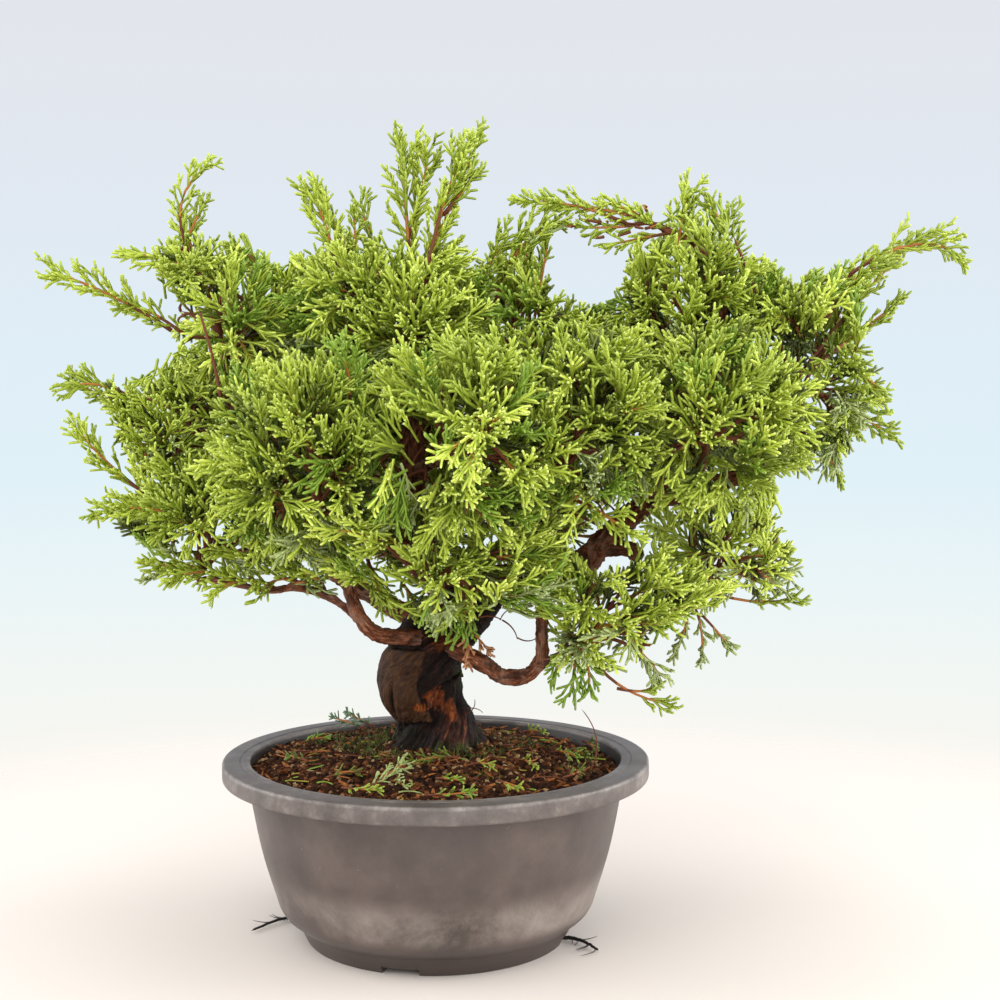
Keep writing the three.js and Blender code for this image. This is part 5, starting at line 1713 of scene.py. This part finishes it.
class BONSAI_OT_boughs(Operator):
    """Builds every bough with the relief of its bark"""
    bl_idname = "bonsai.boughs"
    bl_label = "Boughs"

    def execute(self, context):
        deepest = context.scene.bonsai_bark.bough_relief / MM
        pieces = Pieces()
        grains, groove_shades = [], []
        for number, limb in enumerate(LIMBS):
            path, (thick, thin) = PATHS[limb[0]]
            length = path.length()
            row_height, columns = THICK_MESH if thick > THICK_BOUGH else THIN_MESH
            rows = max(14, int(length / row_height))
            share = np.linspace(0, 1, rows)
            run = np.stack([share * length, 0 * share, 0 * share], 1)
            wander = np.stack([noise_at(run, 0.07, (0, number * 3.1, k * 7.7))
                               for k in range(3)], 1)
            wander *= min(1.2, 0.22 * thick) * smooth(0, 0.2, share)[:, None]
            closing = np.sqrt(np.clip(1 - smooth(0.985, 1.0, share) ** 2 * 0.85, 0, 1))
            along = (share * length)[:, None] * np.ones(columns)
            twist = angles_round(columns)[None] + along * 0.02
            grain = np.stack([thick * np.cos(twist), thick * np.sin(twist),
                              along + number * LIMB_GRAIN_APART], -1).reshape(-1, 3)
            strips = noise_at(grain, (0.22, 0.22, 0.09), octaves=4)
            knots = noise_at(grain, 0.1, (0, 0, 9))
            fine = noise_at(grain, (0.9, 0.9, 0.5))
            shape = (0.2 - np.abs(strips)) * 2.6 + 0.9 * knots + 0.3 * fine
            amount = min(deepest, 0.14 * thick + 0.12)
            radius = lerp(thick, thin, share)[:, None] + amount * shape.reshape(rows, columns)
            pieces.add(wrap(path.at(share) + wander, radius * closing[:, None]),
                       tube_faces(rows, columns), 0)
            ends = [[0, 0, number * LIMB_GRAIN_APART], [0, 0, length + number * LIMB_GRAIN_APART]]
            grains.append(np.vstack([grain, ends]))
            # Painted shade where the relief sinks between the strips
            groove_shades.append(np.append(0.68 * smooth(-0.1, -0.85, shape), [0, 0]))
        obj = pieces.build("bough_bark", [bark_finish()])
        set_attribute(obj, "grain", np.vstack(grains))
        set_attribute(obj, "hollow", np.concatenate(groove_shades))
        keep(obj, "bark", *[limb[0] for limb in LIMBS])
        return {"FINISHED"}


class BONSAI_OT_foliage(Operator):
    """Grows the masses of foliage: branches, leaders, side twigs and scale-leaf cords"""
    bl_idname = "bonsai.foliage"
    bl_label = "Foliage"

    def execute(self, context):
        growth = Growth(context.scene.bonsai_foliage)
        leaves = leaf_materials()
        wood = Pieces()
        numbers = {mass[0]: i for i, mass in enumerate(MASSES)}
        for piece, members in SPRAY_PIECES.items():
            sprays = Pieces()
            for member in members:
                grow_mass(numbers[member], growth, sprays, wood)
            keep(sprays.build(piece + "_sprays", leaves), "foliage",
                 *[member + "_foliage" for member in members])
        fallen = Pieces()
        chance = np.random.default_rng(77)
        growth.cord_radius *= FALLEN_CORD_THICKNESS
        for sprig in FALLEN_SPRIGS:
            grow_shoot(growth, fallen, wood, chance, *sprig, 0.0, FALLEN_CORD)
        scatter_litter(fallen, wood)
        keep(fallen.build("fallen_sprigs", leaves), "foliage")
        for start, bend, end, thick in DRY_STALKS:
            stem_tubes(wood, one_stem(start, bend, end), np.ones(1), thick, 0.5 * thick, 13, 5,
                       RED_BROWN)
        chance = np.random.default_rng(78)
        middle, half = np.array(HOLLOW)
        for _ in range(HOLLOW_TWIGS):
            start = middle + chance.uniform(-1, 0.6, 3) * half
            heading = unit(chance.normal(0, 0.6, 3) + [0, 0, 0.8])
            end = start + heading * chance.uniform(*HOLLOW_REACH)
            bend = lerp(start, end, 0.5) + chance.normal(0, 1.2, 3)
            stem_tubes(wood, one_stem(start, bend, end), np.ones(1), *HOLLOW_THICKNESS, 6, 5,
                       RED_BROWN)
        keep(wood.build("twigs", twig_materials()), "bark")
        return {"FINISHED"}


class BONSAI_OT_roots(Operator):
    """Builds the stray roots beside the foot"""
    bl_idname = "bonsai.roots"
    bl_label = "Stray Roots"

    def execute(self, context):
        material = plain("wet_root", "#1b1512", 0.55, 0.4)
        for number, (name, points) in enumerate(STRAY_ROOTS.items()):
            chance = np.random.default_rng(90 + number)
            pieces = Pieces()
            path = Path(points)
            share = np.linspace(0, 1, 24)
            middles = path.at(share) + chance.normal(0, 0.12, (24, 3))
            middles[:, 2] = np.maximum(middles[:, 2], 1)
            radii = ROOT_RADIUS * (1 - 0.5 * share)
            many_tubes(pieces, middles[None], radii[None], 6, 0)
            for _ in range(ROOT_HAIRS):
                at = chance.uniform(0.15, 0.85)
                start = path.at(at)[0]
                head = path.heading(at)[0]
                side = unit(np.cross(head, [0, 0, 1.0])) * chance.choice([-1, 1])
                reach = chance.uniform(*ROOT_HAIR_REACH)
                end = start + (head * 0.5 + side) * reach
                bend = start + head * reach * 0.5
                steps = np.linspace(0, 1, 9)
                marks = curve_at(start, bend, end, steps)
                marks[:, 2] = np.maximum(marks[:, 2], 0.5)
                thin = ROOT_HAIR_RADIUS * (1 - 0.7 * steps)
                many_tubes(pieces, marks[None], thin[None], 5, 0)
            keep(pieces.build(name + "_strand", [material]), "root", name)
        return {"FINISHED"}


class BONSAI_OT_stage(Operator):
    """Sets the floor, the soft studio light and the camera"""
    bl_idname = "bonsai.stage"
    bl_label = "Stage"

    def execute(self, context):
        scene = context.scene
        settings = scene.bonsai_stage
        scene.view_settings.view_transform = "Standard"
        self.floor(settings)
        world = bpy.data.worlds.new("soft_room")
        world.use_nodes = True
        room = world.node_tree
        heading = add(room, "ShaderNodeTexCoord").outputs["Generated"]
        upward = add(room, "ShaderNodeSeparateXYZ", {0: heading}).outputs[2]
        raised = add(room, "ShaderNodeMapRange", {0: upward, 1: -ROOM_HEIGHT, 2: ROOM_HEIGHT})
        tones = add(room, "ShaderNodeValToRGB", {0: raised}, stops=ROOM)
        room.links.new(tones.outputs[0], room.nodes["Background"].inputs["Color"])
        scene.world = world
        for name, where, size, share, colour in LIGHTS:
            self.light(name, where, size, share * settings.key_power, colour)
        camera = bpy.data.cameras.new("camera")
        camera.sensor_width = SENSOR
        camera.lens = FOCAL_PIXELS / PICTURE_PIXELS * SENSOR
        camera.clip_start = 0.01
        eye = link_object("camera", camera)
        eye.location = place(CAMERA_PLACE)
        eye.rotation_euler = (math.radians(90 - CAMERA_PITCH), 0, 0)
        scene.camera = eye
        return {"FINISHED"}

    def floor(self, settings):
        """A round floor that fades into the room."""
        mesh = bpy.data.meshes.new("floor")
        disc = bmesh.new()
        bmesh.ops.create_circle(disc, cap_ends=True, segments=96, radius=FLOOR_RADIUS)
        bmesh.ops.translate(disc, verts=disc.verts, vec=(AXIS[0], AXIS[1], -FLOOR_BELOW))
        disc.to_mesh(mesh)
        disc.free()
        material, tree, shader = finish("pale_floor", 0.75, 0.2)
        shader.inputs["Base Color"].default_value = settings.floor_colour
        place_in = add(tree, "ShaderNodeTexCoord").outputs["Object"]
        apart = add(tree, "ShaderNodeVectorMath", {0: place_in}, operation="LENGTH")
        fade = add(tree, "ShaderNodeMapRange", {
            0: apart.outputs["Value"], 1: FLOOR_FADE[0], 2: FLOOR_FADE[1]},
            interpolation_type="SMOOTHSTEP")
        clear = add(tree, "ShaderNodeBsdfTransparent")
        both = add(tree, "ShaderNodeMixShader", {0: fade, 1: shader, 2: clear})
        tree.links.new(both.outputs[0], tree.nodes["Material Output"].inputs["Surface"])
        mesh.materials.append(material)
        obj = link_object("floor", mesh)

    def light(self, name, where, size, power, colour):
        """A square soft light turned to the middle of the tree."""
        lamp = bpy.data.lights.new(name, "AREA")
        lamp.shape = "SQUARE"
        lamp.size = size
        lamp.energy = power
        lamp.color = colour
        obj = link_object(name, lamp)
        obj.location = where
        aim = Vector(LIGHT_AIM) - Vector(where)
        obj.rotation_euler = aim.to_track_quat("-Z", "Y").to_euler()


class BONSAI_PT_panel(Panel):
    """Lists the pieces of the bonsai"""
    bl_label = "Juniper Bonsai"
    bl_idname = "BONSAI_PT_panel"
    bl_space_type = "VIEW_3D"
    bl_region_type = "UI"
    bl_category = "Bonsai"

    def draw(self, context):
        for operator in OPERATORS:
            self.layout.operator(operator.bl_idname)


OPERATORS = (BONSAI_OT_stage, BONSAI_OT_pot, BONSAI_OT_soil, BONSAI_OT_trunk, BONSAI_OT_boughs,
             BONSAI_OT_foliage, BONSAI_OT_roots)
SETTINGS = {
    "bonsai_pot": BonsaiPotSettings,
    "bonsai_soil": BonsaiSoilSettings,
    "bonsai_bark": BonsaiBarkSettings,
    "bonsai_foliage": BonsaiFoliageSettings,
    "bonsai_stage": BonsaiStageSettings,
}


def register():
    for group in SETTINGS.values():
        bpy.utils.register_class(group)
    for operator in OPERATORS:
        bpy.utils.register_class(operator)
    bpy.utils.register_class(BONSAI_PT_panel)
    for name, group in SETTINGS.items():
        setattr(bpy.types.Scene, name, PointerProperty(type=group))


def unregister():
    for name in SETTINGS:
        delattr(bpy.types.Scene, name)
    bpy.utils.unregister_class(BONSAI_PT_panel)
    for operator in reversed(OPERATORS):
        bpy.utils.unregister_class(operator)
    for group in reversed(list(SETTINGS.values())):
        bpy.utils.unregister_class(group)


def main():
    register()
    bpy.ops.bonsai.stage()
    bpy.ops.bonsai.pot()
    bpy.ops.bonsai.soil()
    bpy.ops.bonsai.trunk()
    bpy.ops.bonsai.boughs()
    bpy.ops.bonsai.foliage()
    bpy.ops.bonsai.roots()


if __name__ == "__main__":
    main()
